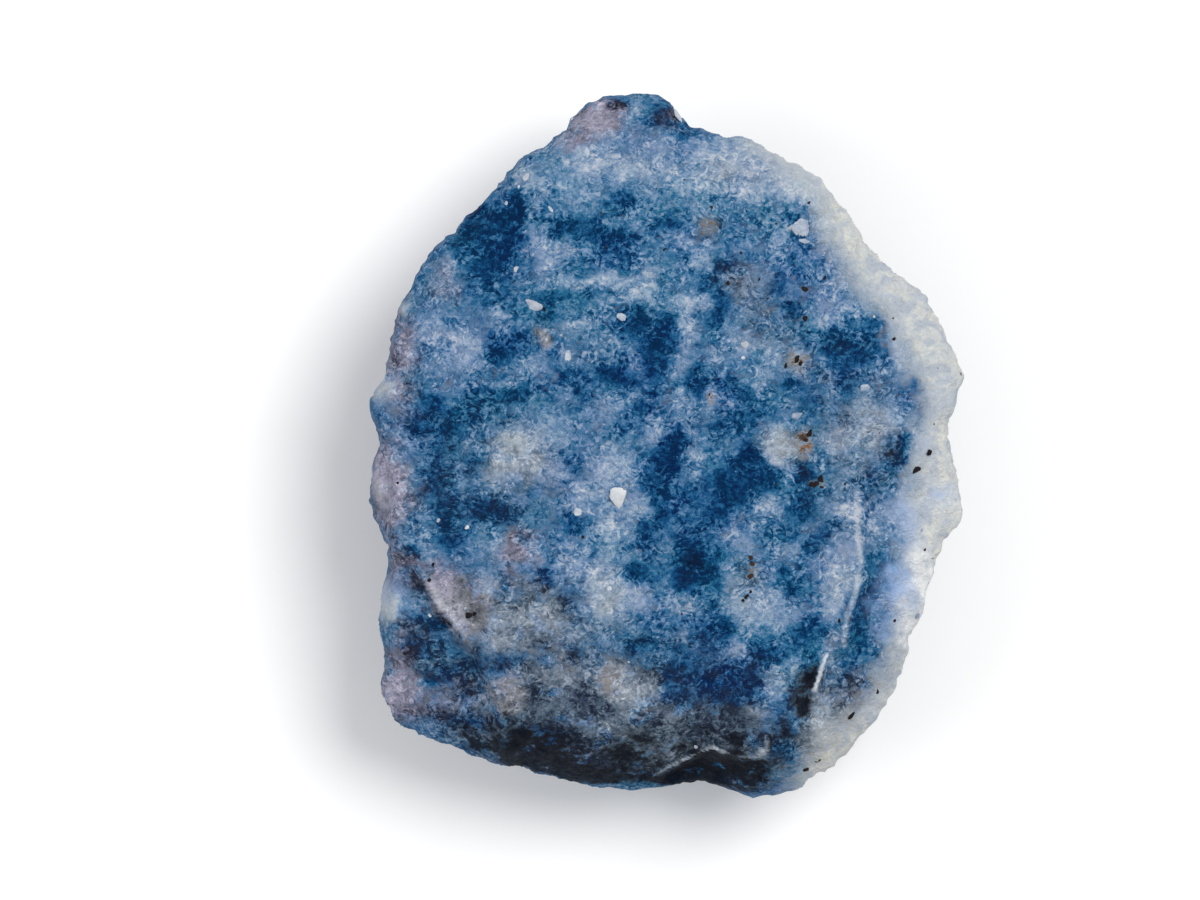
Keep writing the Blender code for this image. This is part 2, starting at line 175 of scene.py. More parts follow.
def flatPoints(x, y):
    return np.stack([x, y, np.zeros(len(x))], axis=1)


def distanceFrom(x, y, line):
    # how far each point is from a line of straight stretches: the least of its distances to them
    nearest = np.full(len(x), np.inf)
    for (x0, y0), (x1, y1) in zip(line, line[1:]):
        run, rise = x1 - x0, y1 - y0
        share = np.clip(((x - x0) * run + (y - y0) * rise) / (run * run + rise * rise), 0, 1)
        nearest = np.minimum(nearest, np.hypot(x - x0 - share * run, y - y0 - share * rise))
    return nearest


def depthInside(x, y, corners):
    # how far inside an outline each point lies, less than 0 outside it; a point is inside if a ray from it
    # crosses the edge an odd number of times
    inside = np.zeros(len(x), bool)
    for (x0, y0), (x1, y1) in zip(corners, corners[1:] + corners[:1]):
        crosses = (y0 > y) != (y1 > y)
        inside ^= crosses & (x < x0 + (y - y0) * (x1 - x0) / ((y1 - y0) or 1))
    edge = distanceFrom(x, y, corners + corners[:1])
    return np.where(inside, edge, -edge)


def rimRadius(degrees):
    # distance from the middle to the outline in each direction, with jags that come to a point where lumps,
    # taken at the rim's own place, cross zero
    x, y = np.array(stone["outline"]).T
    radius = np.interp(degrees, np.degrees(np.arctan2(y, x)), np.hypot(x, y), period=360)
    angle = np.radians(degrees)
    rim = flatPoints(radius * np.cos(angle), radius * np.sin(angle))
    jags = sum(
        reach * (stone["nickBase"] - 2 * np.abs(lumps(rim, size, seed)))
        for size, reach, seed in stone["rimNicks"])
    return radius + jags


def flaked(x, y):
    # thin layers broken off: for each size, a field of lumps times the flakes per bend, taken down to whole
    # steps with a short slope between, times the flake's thickness
    flat = flatPoints(x, y)
    total = np.zeros(len(x))
    for size, thickness, seed in stone["flakes"]:
        bends = lumps(flat, size, seed) + stone["flakeFraying"] * lumps(flat, size / 3, seed + 1)
        level = stone["flakesPerBend"] * bends
        whole = np.floor(level)
        total += thickness * (whole + np.clip((level - whole) / stone["flakeSlope"], 0, 1))
    return total


def faceHeight(x, y):
    # the middle's height less the dome times the squared distance, the fall at the rim, the steps and the
    # swells, plus the ridges and flakes
    distance = np.hypot(x, y)
    degrees = np.degrees(np.arctan2(y, x))
    directions, falls, widths = np.array(stone["rimFall"]).T
    fall = np.interp(degrees, directions, falls, period=360)
    width = np.interp(degrees, directions, widths, period=360)
    nearRim = np.clip(1 - (rimRadius(degrees) - distance) / width, 0, 1)
    height = stone["faceHeight"] - stone["faceDome"] * distance**2 - fall * nearRim ** stone["rimRoundness"]
    stray = lumpSum(flatPoints(x, y), stone["stepWander"])
    for corners, depth, width, slope in stone["faceSteps"]:
        inside = depthInside(x + stray, y - stray, corners)
        height -= depth * np.clip(inside / width, 0, 1) + slope * np.clip(inside, 0, None)
    for centreX, centreY, radius, depth in stone["faceSwells"]:
        away = np.hypot(x - centreX, y - centreY) / radius
        height -= depth * np.clip(1 - away**2, 0, 1) ** 2
    for line, ridgeHeight, halfWidth in stone["faceRidges"]:
        away = distanceFrom(x + stray, y - stray, line) / halfWidth
        height += ridgeHeight * np.clip(1 - away, 0, 1)
    return height + flaked(x, y)


def backHeight(x, y):
    # the highest of the broken planes, plus the scoops and steps broken out of them
    height = np.full(len(x), -np.inf)
    for degrees, start, rise in stone["backPlanes"]:
        angle = np.radians(degrees)
        height = np.maximum(height, rise * (x * np.cos(angle) + y * np.sin(angle) - start))
    for centreX, centreY, radius, depth in stone["backScoops"]:
        away = np.hypot(x - centreX, y - centreY) / radius
        height += depth * np.clip(1 - away**2, 0, 1)
    for corners, rise, width in stone["backSteps"]:
        height += rise * np.clip(depthInside(x, y, corners) / width, 0, 1)
    return height


def foldedGrid(cells):
    # a square grid folded like a napkin: direction round the stone, and |u| + |v| from 0 on top to 2 below
    line = np.linspace(-1, 1, cells + 1)
    u, v = (side.ravel() for side in np.meshgrid(line, line, indexing="ij"))
    over = np.abs(u) + np.abs(v)
    alongX = np.where(over > 1, 1 - np.abs(v), np.abs(u))
    alongY = np.where(over > 1, 1 - np.abs(u), np.abs(v))
    quarter = 90 * alongY / np.maximum(alongX + alongY, 1e-9)
    degrees = np.where(u >= 0, quarter, 180 - quarter) * np.where(v >= 0, 1, -1)
    return degrees, over


def gridFaces(cells):
    # the grid's squares, with the points that the fold brings together made one point
    index = np.arange((cells + 1) ** 2).reshape(cells + 1, cells + 1)
    for edge in (0, -1):
        index[edge, : cells // 2] = index[edge, : cells // 2 : -1]
        index[: cells // 2, edge] = index[: cells // 2 : -1, edge]
    index[[0, 0, -1, -1], [0, -1, 0, -1]] = index[-1, -1]
    squares = [index[:-1, :-1], index[1:, :-1], index[1:, 1:], index[:-1, 1:]]
    faces = np.stack([corner.ravel() for corner in squares], axis=1)
    used, renumbered = np.unique(faces, return_inverse=True)
    return used, renumbered.reshape(-1, 4)


def stonePoints(cells):
    # face and back as heights over one fold, the wall a straight mix of their rims that swells outwards,
    # then every point pushed out along its facing by scoops and lumps; nothing goes below the table
    degrees, over = foldedGrid(cells)
    band = stone["wallShare"]
    angle = np.radians(degrees)
    around = np.stack([np.cos(angle), np.sin(angle)], axis=1)
    rim = rimRadius(degrees)
    turns = np.linspace(-1, 1, 9) * stone["roundOff"]
    roundRim = np.mean([rimRadius(degrees + turn) for turn in turns], axis=0)

    def placed(share, inset):
        # a share of the way from the middle to the rim, the inset taken off towards the rim
        jagged = (rim - roundRim) * share ** stone["jagsFade"]
        radius = share * (roundRim + jagged) - inset * share ** stone["insetFade"]
        return radius[:, None] * around

    insetAbove, insetBelow, proudAt = stone["wallInsetAbove"], stone["wallInsetBelow"], stone["wallProudAt"]
    above = placed(np.clip(over / (1 - band), 0, 1), insetAbove)
    below = placed(np.clip((2 - over) / (1 - band), 0, 1), insetBelow)
    top = faceHeight(*above.T)
    under = np.minimum(backHeight(*below.T), faceHeight(*below.T) - stone["thinnest"])
    downWall = np.clip((over - 1 + band) / (2 * band), 0, 1)
    leaning = insetAbove + proudAt * (insetBelow - insetAbove)
    proud = np.interp(downWall, (0, proudAt, 1), (0, leaning, 0))
    flat = above + (below - above) * downWall[:, None] + around * proud[:, None]
    points = np.column_stack([flat, top + (under - top) * downWall])

    facing = np.radians(90 * np.clip((1 - over) / (stone["turnsOver"] * band), -1, 1))
    outward = np.column_stack([around * np.cos(facing)[:, None], np.sin(facing)])
    place = (1 - over) / (stone["texturesBlend"] * band)
    rough = np.zeros(len(points))
    for texture, field in (("scoopTexture", scoops), ("lumpTexture", lumps)):
        for size, faceDepth, wallDepth, backDepth, seed in stone[texture]:
            depth = np.interp(place, (-1, 0, 1), (backDepth, wallDepth, faceDepth))
            rough += depth * field(points, size, seed)
    points = points + outward * rough[:, None]
    points[:, 2] = np.maximum(points[:, 2], 0)
    return points, over


def addObject(name, data):
    thing = bpy.data.objects.new(name, data)
    bpy.context.scene.collection.objects.link(thing)
    return thing


def meshFrom(name, points, faces):
    # a mesh object at the origin from arrays of points in mm and of faces
    mesh = bpy.data.meshes.new(name)
    mesh.from_pydata((points * mm).tolist(), [], faces.tolist())
    mesh.shade_smooth()
    return addObject(name, mesh)


def addField(piece, name, values):
    # one number for each point of a mesh, for its material
    piece.data.attributes.new(name, "FLOAT", "POINT").data.foreach_set("value", values.astype(np.float32))


# Where the stone is dark blue or pale, as soft oval marks on the broad face, read off:
# x, y, half width, half height, amount, and where it is turned its turn in degrees
markings = {
    "plain": 0.5,  # how blue the plain stone is, from 0 whitish to 1 navy
    "strength": 1.5,  # of the blue and pale marks
    "limit": 0.45,  # that marks over each other come close to and never pass
    "wornEdgesAndHighlights": [  # pale lines along ridges and lips, partly worn stone and partly a painted highlight where light catches the edge: points along the line, half width, paleness, whiteness
        ([(10.2, -2.5), (10.25, -4), (10.4, -6.4), (10.1, -8), (9.7, -9.1), (9.5, -10.7)],
         0.15, 0.25, 0.15),
        ([(8.55, -11.3), (8.25, -12.2), (7.95, -13.1)], 0.08, 0.55, 0.65),
        ([(-0.6, -17.8), (0.8, -17), (2.5, -16.2), (3.4, -16.6), (4.7, -16.8), (5.3, -16.4), (5.4, -15.9)],
         0.08, 0.35, 0.12),
        ([(-13, -6.9), (-12.3, -8.3), (-11.5, -9.2), (-10.8, -10.2)], 0.14, 0.2, 0.15),
    ],
    # those along the bottom rim, below about y -15, are partly painted shade where the rim falls away from
    # the light
    "darkBlue": [
        (0.6, -2.8, 1.5, 2, 0.12), (4.6, -2.7, 1.5, 1.2, 0.14), (2.2, -10.8, 3.2, 3.2, 0.07),
        (6.9, -13.2, 1, 1.2, 0.16), (-8.4, 7.6, 1.2, 1.2, 0.08), (6.3, -11, 1.2, 1.4, 0.12),
        (5.5, -16, 0.9, 1, 0.2), (2.3, -7.2, 0.9, 0.8, 0.14), (2.6, -5, 0.8, 0.9, 0.1),
        (7.2, -1.9, 0.9, 0.8, 0.14), (-2.7, 1.3, 1, 0.8, 0.1), (-5.4, 1.1, 0.9, 0.7, 0.1),
        (1.2, -12.2, 3, 2.4, 0.06), (2.5, -15.1, 2.6, 0.9, 0.2), (-0.3, -1.2, 0.9, 1.5, 0.4),
        (1.4, -6.4, 1, 1.3, 0.42), (-3.3, 10.9, 1.3, 0.7, 0.12), (-3.8, -17, 3.2, 0.9, 0.25, -8),
        (4, -17.4, 1.6, 0.7, 0.25), (0.4, -17.6, 2.6, 0.7, 0.25), (-9.3, 11.6, 1.7, 1.5, 0.46, -20),
        (-8, 12.4, 0.5, 1.2, 0.3), (-9.2, 9.8, 1.5, 0.9, 0.28), (-10.8, 10.9, 0.7, 0.6, 0.3),
        (-2.9, 10.6, 1.1, 0.9, 0.26), (-3.8, 11.6, 2, 0.5, 0.16, -10), (-5.3, 11.6, 0.9, 0.5, 0.16),
        (0, 11.6, 0.9, 0.4, 0.25), (-6.8, 12.4, 0.5, 0.5, 0.2), (-2.2, 13.1, 1.3, 0.5, 0.2),
        (-1.9, 6.4, 0.9, 0.9, 0.34, -30), (-0.8, 5.6, 1.1, 1.3, 0.15), (-0.5, 4.3, 0.7, 1.2, 0.26),
        (-2.9, 3.9, 0.9, 0.7, 0.32), (-1.8, 3.4, 0.6, 0.5, 0.26), (-1.4, 1.9, 0.8, 0.6, 0.22),
        (-4.8, 3.6, 0.7, 0.5, 0.22), (-4.4, 2.8, 0.6, 0.4, 0.18), (-8.4, 5.3, 1.3, 0.7, 0.3),
        (-9.4, 5, 0.7, 0.5, 0.16), (-8.3, 2.9, 0.9, 0.4, 0.3), (-9.8, 2.7, 1.4, 0.5, 0.2),
        (-10.6, 1.8, 1, 0.6, 0.26), (-12.6, 1.2, 1.4, 0.9, 0.3), (-11.4, 0.7, 0.8, 0.7, 0.2),
        (-12.6, 2.5, 0.6, 0.4, 0.18), (-4.6, 8, 1.4, 0.5, 0.14), (-6.3, 7.3, 0.5, 1.2, 0.2, -10),
        (-9.6, 8.6, 1.2, 0.7, 0.14), (2.8, 13.4, 0.9, 0.4, 0.18, 15), (6.8, 11.4, 0.3, 1.2, 0.26, 25),
        (3.1, 9.7, 0.7, 0.5, 0.22, 20), (2.3, 8.6, 0.6, 0.5, 0.32), (2.9, 7.6, 0.4, 0.8, 0.28, -15),
        (2.6, 6.7, 0.5, 0.7, 0.2, -15), (6, 8.4, 0.6, 0.5, 0.22, -20), (6.6, 7.2, 0.5, 0.3, 0.26),
        (7.2, 9.4, 0.6, 0.5, 0.12), (9.8, 5.2, 1.6, 1.2, 0.3, 30), (8.7, 5.2, 0.7, 0.7, 0.2),
        (9.7, 3.3, 0.4, 1, 0.22), (0.3, 5.5, 0.8, 1.3, 0.24), (1.6, 3.4, 0.7, 0.6, 0.26, 50),
        (3.6, 2.9, 0.8, 0.5, 0.26, -20), (3.4, 1.3, 1.3, 0.6, 0.2, 20), (5, 2, 0.8, 0.4, 0.14),
        (6.8, 3.1, 0.6, 0.3, 0.32), (0.3, 0.1, 0.6, 0.7, 0.36), (7.8, 2, 0.6, 0.8, 0.14),
        (12, 0, 0.9, 0.9, 0.36), (7.4, 5.8, 0.3, 0.8, 0.16), (13.1, 3.5, 0.7, 0.8, 0.14),
        (-11.9, -0.4, 0.7, 0.5, 0.26), (-10.6, -1, 0.6, 0.5, 0.24), (-12.2, -1.4, 1, 0.6, 0.2),
        (-12.3, -2.5, 1.2, 0.6, 0.18), (-11.3, -3.4, 0.7, 0.4, 0.36), (-11.8, -4, 0.5, 0.5, 0.36),
        (-9.9, -3.4, 1.1, 0.7, 0.34), (-8.7, -3.6, 0.8, 0.5, 0.28), (-11.6, -4.9, 0.8, 0.5, 0.22),
        (-13.4, -5.4, 0.5, 0.4, 0.28), (-5, -4.5, 0.6, 0.6, 0.26), (-5, -0.7, 0.7, 0.9, 0.16),
        (-1.2, -4.9, 0.7, 0.8, 0.3), (-1.3, -6.8, 0.8, 0.7, 0.36), (-0.4, -3.6, 0.4, 0.6, 0.24),
        (-6.7, -7.2, 0.6, 0.5, 0.28), (-5.2, -8.4, 0.6, 0.7, 0.2), (-13.6, -7.2, 0.6, 0.7, 0.24, 45),
        (-12.3, -9.3, 0.6, 0.4, 0.4), (-13.2, -9.6, 0.8, 0.5, 0.28), (-13.6, -10.9, 0.5, 0.6, 0.32),
        (-12.3, -10.8, 1, 0.6, 0.2), (-11.6, -12.3, 1.1, 0.5, 0.38), (-10.5, -13.1, 0.6, 0.5, 0.3),
        (-12.5, -12.4, 0.5, 0.6, 0.22), (-10.4, -11.5, 1, 0.5, 0.28), (-8.3, -11.7, 0.9, 0.6, 0.24),
        (-9.3, -12.1, 0.6, 0.3, 0.22), (-11.2, -14.9, 1.4, 0.5, 0.34, -10), (-9.4, -14.9, 0.8, 0.5, 0.28),
        (-6.9, -15.2, 1.6, 0.7, 0.4, -10), (-5.5, -15.9, 1.3, 0.5, 0.4), (-8, -16.3, 1.2, 0.4, 0.3, -15),
        (-1.4, -10.8, 0.7, 0.4, 0.34, 40), (-0.3, -12.5, 0.7, 0.4, 0.24), (-4.9, -10.9, 0.4, 0.5, 0.18),
        (-6.9, -10.4, 0.7, 0.4, 0.14), (-6.8, -13.3, 0.6, 0.4, 0.22), (-4.4, -13.8, 1.3, 0.8, 0.2),
        (-3.5, -15.5, 0.6, 0.4, 0.28), (-1.1, -15, 0.9, 0.4, 0.18), (4.7, -1.2, 1.4, 0.7, 0.4, -15),
        (3.4, -2.4, 1.1, 0.9, 0.36), (4.3, -0.3, 0.6, 0.5, 0.22), (2.9, -3.6, 0.8, 0.6, 0.26),
        (1.5, -6.9, 0.9, 0.8, 0.46), (2.9, -6, 0.5, 0.4, 0.28), (7.5, -1.4, 0.5, 0.6, 0.34),
        (7.6, -2.9, 0.5, 0.4, 0.26), (8.3, -2.7, 0.5, 0.5, 0.18), (7.1, -3.6, 0.6, 0.5, 0.26),
        (6.2, -4.6, 0.9, 0.5, 0.18), (8.8, -4.5, 0.5, 0.5, 0.22), (8, -5.3, 0.8, 0.5, 0.2, 20),
        (6.4, -6.7, 0.6, 0.4, 0.24), (6.7, -7.4, 0.7, 0.4, 0.18), (10.9, -2, 0.5, 0.8, 0.14),
        (11.4, -6.3, 0.9, 0.7, 0.14), (11.1, -7.6, 0.9, 0.8, 0.14, 20), (10.6, -8.8, 0.8, 1, 0.15, 10),
        (10.3, -10.4, 0.8, 1.1, 0.18, 5), (9.8, -12.1, 0.4, 0.7, 0.18, -15), (7.9, -9.8, 1.1, 0.6, 0.28),
        (7.7, -11, 0.5, 0.5, 0.2), (5.4, -11.3, 0.8, 0.6, 0.34, 20), (2.6, -12.5, 0.9, 0.8, 0.38, -30),
        (4.2, -12.7, 1.2, 0.7, 0.32), (0.6, -12.2, 0.7, 0.6, 0.3), (0.6, -13.5, 0.8, 0.6, 0.24),
        (4.8, -13.4, 0.5, 0.6, 0.22), (3.3, -13.8, 1, 0.5, 0.24), (2.6, -9.9, 0.9, 0.5, 0.2),
        (6.4, -15, 0.5, 0.6, 0.24), (6.2, -16.3, 0.9, 0.5, 0.36, -30), (-0.3, 17.7, 0.9, 0.6, 0.2, -20),
        (0.9, 16.7, 0.8, 0.3, 0.14), (-2.7, 18.2, 0.4, 0.3, 0.3),
    ],
    "pale": [
        (5, 15.3, 2.6, 1.2, 0.23, -15), (3, 14.6, 3.2, 1.3, 0.1, -10), (-3.2, -7.8, 1.2, 1.2, 0.16),
        (-7.8, -0.5, 1.3, 1.1, 0.15), (-5.5, 0.2, 1.6, 1.6, 0.1), (-3, -2, 1.4, 2.2, 0.12),
        (5.6, -4.2, 1.6, 1.2, 0.06), (11, 0.6, 1.2, 1.6, 0.12), (5, 13.9, 2.2, 0.8, 0.14),
        (9.1, 9.9, 0.9, 1.6, 0.1, 20), (0.9, 2.6, 0.9, 0.7, 0.1), (-4, 17.4, 1.2, 0.8, 0.12),
        (8.5, 7.4, 1, 0.7, 0.1), (-2, -3.6, 0.7, 1.2, 0.12), (4.9, -0.2, 0.6, 0.5, 0.12),
        (9.4, -4, 1, 1.3, 0.12), (9.8, -8.3, 0.7, 1, 0.12), (12.7, 4.1, 0.8, 1, 0.12),
        (-5.2, 16, 0.9, 0.6, 0.12), (12.1, 5.2, 0.5, 1.2, 0.22), (13.2, 0.4, 0.6, 0.9, 0.2),
        (9.8, -1.3, 0.8, 0.8, 0.12), (6.3, 13.2, 1, 0.6, 0.14, -20), (8.9, 8.4, 0.7, 0.6, 0.12),
        (2.1, 13.6, 1, 0.9, 0.12), (-11.1, -0.8, 0.8, 0.8, 0.1), (-3.6, 7.6, 0.8, 0.5, 0.12),
        (-3.8, 4.6, 0.7, 0.6, 0.12), (-8.4, -10.8, 0.9, 0.7, 0.14), (-6.6, 5.6, 0.35, 0.75, 0.26, -10),
        (-14.6, -2.2, 0.9, 2.2, 0.22), (-14.6, -13.4, 0.9, 1.4, 0.05), (10.7, 1.1, 0.9, 1.3, 0.14),
        (-3.4, 17.9, 0.8, 0.5, 0.18), (8.2, 12, 0.9, 1.4, 0.08, 20), (12, -8.6, 0.6, 1.6, 0.1, 10),
        (9, -15.6, 1.2, 1.2, 0.16, 40), (-1.9, 14.8, 2.3, 0.7, 0.2, -5), (-4.2, 15.1, 1, 0.6, 0.22),
        (-0.4, 15.7, 0.8, 0.7, 0.18), (-4, 14.6, 4, 1.9, 0.12), (-7.5, 14.5, 0.6, 0.7, 0.24),
        (-3, 16.7, 1, 0.7, 0.14), (-1.9, 17.9, 0.6, 0.5, 0.18), (-4.4, 17.4, 0.9, 0.6, 0.18),
        (-7.1, 12, 0.35, 1.2, 0.2), (-6.4, 10.4, 0.9, 1, 0.28), (-4.8, 10.7, 0.9, 0.4, 0.2),
        (-4.7, 8.8, 1.5, 0.35, 0.26), (-3, 8.7, 1.2, 0.4, 0.28), (-1.4, 8.3, 1, 0.7, 0.34, 20),
        (-1, 9.2, 0.6, 0.4, 0.24), (-9.1, 6.9, 0.4, 0.5, 0.3), (-11.8, 8.7, 0.9, 1, 0.16),
        (-11.5, 9.9, 0.5, 0.5, 0.2), (-12.7, 6.6, 1.1, 0.6, 0.18), (-10.7, 5.6, 0.9, 0.9, 0.3, -30),
        (-12, 5.9, 1.5, 0.6, 0.18), (-12, 4.4, 1, 0.5, 0.12), (-10.5, 4.4, 0.9, 0.4, 0.14),
        (-8.9, 3.4, 0.5, 0.3, 0.2), (-7.2, 4, 0.8, 0.5, 0.12), (-5, 6.4, 1.1, 0.5, 0.2, 10),
        (-5.2, 4.9, 0.3, 0.5, 0.24), (-2.9, 5.6, 0.9, 0.3, 0.14, -30), (-2.9, 2.1, 1, 0.5, 0.16),
        (-3.4, 1.3, 0.6, 0.6, 0.12), (-0.6, 0.7, 0.7, 0.4, 0.24, 20), (-7.8, 0.3, 1.3, 0.7, 0.26),
        (-6, 1, 0.8, 0.7, 0.2), (2.5, 15.2, 1.3, 0.9, 0.28, -10), (1, 14.3, 0.8, 0.5, 0.2),
        (6, 14.4, 1.2, 0.8, 0.24, -30), (4.5, 13.5, 0.7, 0.5, 0.18), (7.8, 13.8, 1.2, 0.9, 0.3, -40),
        (3.4, 16.2, 1.6, 0.6, 0.16), (6, 11.3, 0.5, 0.4, 0.2), (5.9, 10.6, 0.7, 0.5, 0.14),
        (1.1, 10.5, 0.8, 0.4, 0.2), (1.7, 9.8, 0.7, 0.5, 0.24), (1.2, 7.5, 1, 0.4, 0.32),
        (1.2, 6.4, 0.4, 1, 0.24, -10), (1.1, 5, 0.35, 1.2, 0.24, -15), (4.6, 8.1, 0.7, 0.8, 0.12),
        (4.1, 5.3, 0.7, 0.6, 0.26, -30), (2.6, 4.8, 0.5, 0.5, 0.14), (5.5, 4.9, 0.6, 0.7, 0.2),
        (4.9, 3.7, 0.7, 0.4, 0.24), (8.2, 6.9, 0.9, 0.5, 0.18), (8.6, 4.1, 0.7, 0.3, 0.16, -45),
        (10.5, 2.5, 0.7, 0.6, 0.12), (9.3, 0.3, 0.8, 0.6, 0.28), (12, 1.2, 0.8, 0.6, 0.24),
        (6, 0, 1.2, 0.9, 0.34), (6.8, 4.2, 0.8, 0.6, 0.14), (2.2, 2.3, 0.5, 0.7, 0.2),
        (9.9, 7.2, 0.7, 0.7, 0.2), (-8.3, -0.6, 1.2, 1.2, 0.22), (-9, -1.9, 0.8, 0.7, 0.26),
        (-6.7, -1.5, 1, 1, 0.16), (-3, -1.3, 0.9, 1.3, 0.24), (-4.4, -2.8, 1.1, 1, 0.18),
        (-3, -4.6, 0.7, 1.2, 0.28), (-1.4, -3.2, 0.6, 0.5, 0.28), (-1.9, -6, 0.5, 0.3, 0.2),
        (-3.2, -7.4, 1, 1.4, 0.32), (-2.6, -8.3, 1.5, 0.8, 0.24), (-1.5, -8.4, 0.6, 0.7, 0.2),
        (-2.9, -9.4, 0.7, 0.5, 0.18), (-5.2, -6.2, 0.9, 0.9, 0.2), (-7.2, -6, 0.6, 0.5, 0.2),
        (-9.1, -5.6, 1, 0.6, 0.14), (-9.9, -7.3, 0.6, 0.8, 0.2), (-12.6, -5.7, 0.6, 0.5, 0.14),
        (-12, -7.3, 0.9, 0.9, 0.28), (-11.6, -8.5, 0.8, 0.6, 0.26), (-10.9, -9.6, 0.9, 0.5, 0.28, -45),
        (-8.6, -9.2, 1, 0.8, 0.22), (-6.7, -9.2, 1, 0.6, 0.2), (-9.2, -10.5, 0.7, 0.5, 0.22),
        (-5.3, -9.9, 0.7, 0.4, 0.14), (-8.5, -13.2, 0.8, 1, 0.17), (-2.9, -12.7, 0.9, 0.8, 0.26),
        (-1.5, -13.3, 1.1, 0.7, 0.28), (-5.9, -12.2, 0.9, 0.6, 0.12), (-3.4, -15.1, 0.5, 0.4, 0.2),
        (-14.8, -13.4, 0.6, 0.9, 0.24), (-14.1, -12.9, 0.8, 0.9, 0.18), (-15.2, -1.5, 0.5, 1.2, 0.24),
        (-14.9, -8.4, 0.4, 0.8, 0.28), (-15, 3.2, 0.7, 1, 0.24, 30), (-14, 5.2, 0.5, 1, 0.2),
        (1.3, -0.8, 0.7, 0.5, 0.24), (1, -1.9, 0.7, 0.5, 0.2, 20), (5.6, -0.7, 0.9, 0.6, 0.26),
        (6.5, -1.5, 0.5, 0.5, 0.2), (5.6, -3.2, 0.7, 0.6, 0.3), (6.8, -5.3, 0.7, 0.4, 0.22, 20),
        (9.7, -3.4, 0.8, 0.6, 0.28), (9.8, -5.4, 0.8, 0.6, 0.24, 20), (9.3, -6.9, 0.9, 1, 0.36, 20),
        (9.1, -8.4, 0.6, 0.8, 0.32), (9.2, -10.1, 0.3, 0.7, 0.16), (12.2, -4, 1.2, 1.2, 0.18),
        (11.1, -5, 0.5, 0.8, 0.14), (4.3, -5.2, 0.5, 0.7, 0.2), (3.5, -4.6, 0.6, 0.4, 0.2),
        (3.3, -7, 0.5, 1.2, 0.18), (4.6, -8.6, 1.3, 1.1, 0.32), (5.8, -9, 1, 0.7, 0.22),
        (5.9, -8, 0.6, 0.5, 0.18), (0.8, -8.7, 1.1, 0.4, 0.24), (0.6, -10.2, 0.5, 0.5, 0.16),
        (3.9, -10.9, 0.6, 0.6, 0.3), (6.4, -11.9, 0.6, 1, 0.26, -35), (6, -13.2, 0.5, 0.6, 0.24),
        (8.8, -11.3, 0.4, 0.9, 0.16), (0.3, -14.9, 0.5, 0.4, 0.18), (4.9, -14.4, 0.5, 0.4, 0.16),
        (5, -16.5, 0.4, 0.3, 0.3), (8.4, -14.5, 0.5, 1.3, 0.28),
    ],
    "rose": [  # pinkish grey, mostly down the left side
        (-14.5, 5, 1.2, 3.5, 0.8, 8), (-15.2, -2.3, 1, 3, 1), (-14.2, -6.6, 0.9, 1.6, 0.8),
        (-12, -7.6, 1.4, 1.2, 0.8, -45), (-10.9, -9.4, 1.3, 0.9, 0.9, -45), (-12.8, -13.6, 2.6, 1.6, 0.8),
        (-14.6, -12.6, 1, 2.4, 0.7), (-8.6, -13.6, 1, 1.2, 0.6), (-4.2, 17.4, 1.4, 1, 0.9),
        (-4.8, 16.2, 1.2, 0.6, 0.5), (-8, -5.6, 0.9, 1.2, 0.7), (-11.8, 8.6, 1.2, 1.5, 0.4),
        (0.6, 17.8, 0.5, 0.4, 0.6), (-13.6, -2.9, 0.8, 1.5, 0.5), (9, -10.4, 0.5, 0.8, 0.4),
        (-12.6, -6.2, 1.4, 0.7, 0.5), (7.4, 4, 0.8, 1, 0.3), (3.8, 8.6, 0.8, 0.8, 0.3),
        (-10.8, -8.2, 1.4, 1, 0.9, -45), (-3.4, 17.8, 0.9, 0.7, 1.2), (-14.4, -1.9, 0.7, 2, 0.4),
        (-8.4, -6.4, 1.2, 1.6, 0.3), (-6.6, 5.6, 0.4, 0.8, 0.7, -10), (-8.5, -13.5, 1, 1, 0.5),
        (-10.4, -8.3, 1.6, 1.2, 0.4, -45), (0, 17.5, 0.9, 0.7, 0.5), (-3.1, -12.6, 0.9, 0.7, 0.9),
        (10.6, -13.4, 1.4, 1.4, 0.5), (-13.8, -10.5, 1, 1.6, 0.5), (-3.6, 17.6, 1.2, 0.8, 0.4),
    ],
    "grey": [  # where the blue is washed out
        (-4.5, -13.5, 3.2, 1.6, 0.7), (-7.2, -8.5, 2.5, 1.6, 0.4), (-2.2, -12.9, 1.5, 1, 0.6),
        (2.3, 11.6, 0.9, 0.9, 0.6), (3.5, 9.2, 1.8, 1.2, 0.4), (5, 8.2, 1.6, 1.5, 0.3), (6, 0, 1.4, 1, 0.6),
        (-6.6, 5.8, 0.5, 1, 0.8), (6.8, 4.4, 1, 0.8, 0.5), (2.4, -15.3, 4.5, 1.2, 0.9),
        (8.4, -14.8, 1.2, 2.4, 0.8), (-6, -14.6, 4.5, 1.6, 0.5, -8), (10.4, -13.4, 1.6, 1.6, 0.5),
        (-7, -16.4, 4.5, 1, 0.6, -12), (7.4, -13.2, 0.8, 1, 0.9), (9.5, -16, 2, 1.6, 0.8),
        (4.2, -7.4, 1, 1.6, 0.4), (9.4, -7.4, 0.8, 1.4, 0.3), (-7.9, -0.7, 1.6, 1.4, 0.6),
        (-3.3, -7.8, 1, 1.4, 0.45), (-1.9, 14.9, 1.6, 0.8, 0.3), (-10.8, -8.4, 1.6, 1.6, 0.7),
        (-1.5, -16.8, 4, 1.2, 1), (3.5, -17.2, 3.5, 1, 0.9), (5.3, 6, 2, 1.5, 0.3), (4, 14.8, 2.4, 1, 0.4),
        (8.3, 11.6, 1.2, 1.8, 0.4), (11, 0.8, 1.4, 1.6, 0.4), (-2.5, -13.8, 2, 1.4, 0.4),
        (-7, -10, 2.5, 1.6, 0.3), (1, -13, 6.5, 3, 0.35), (-8, -11.5, 5.5, 4, 0.5),
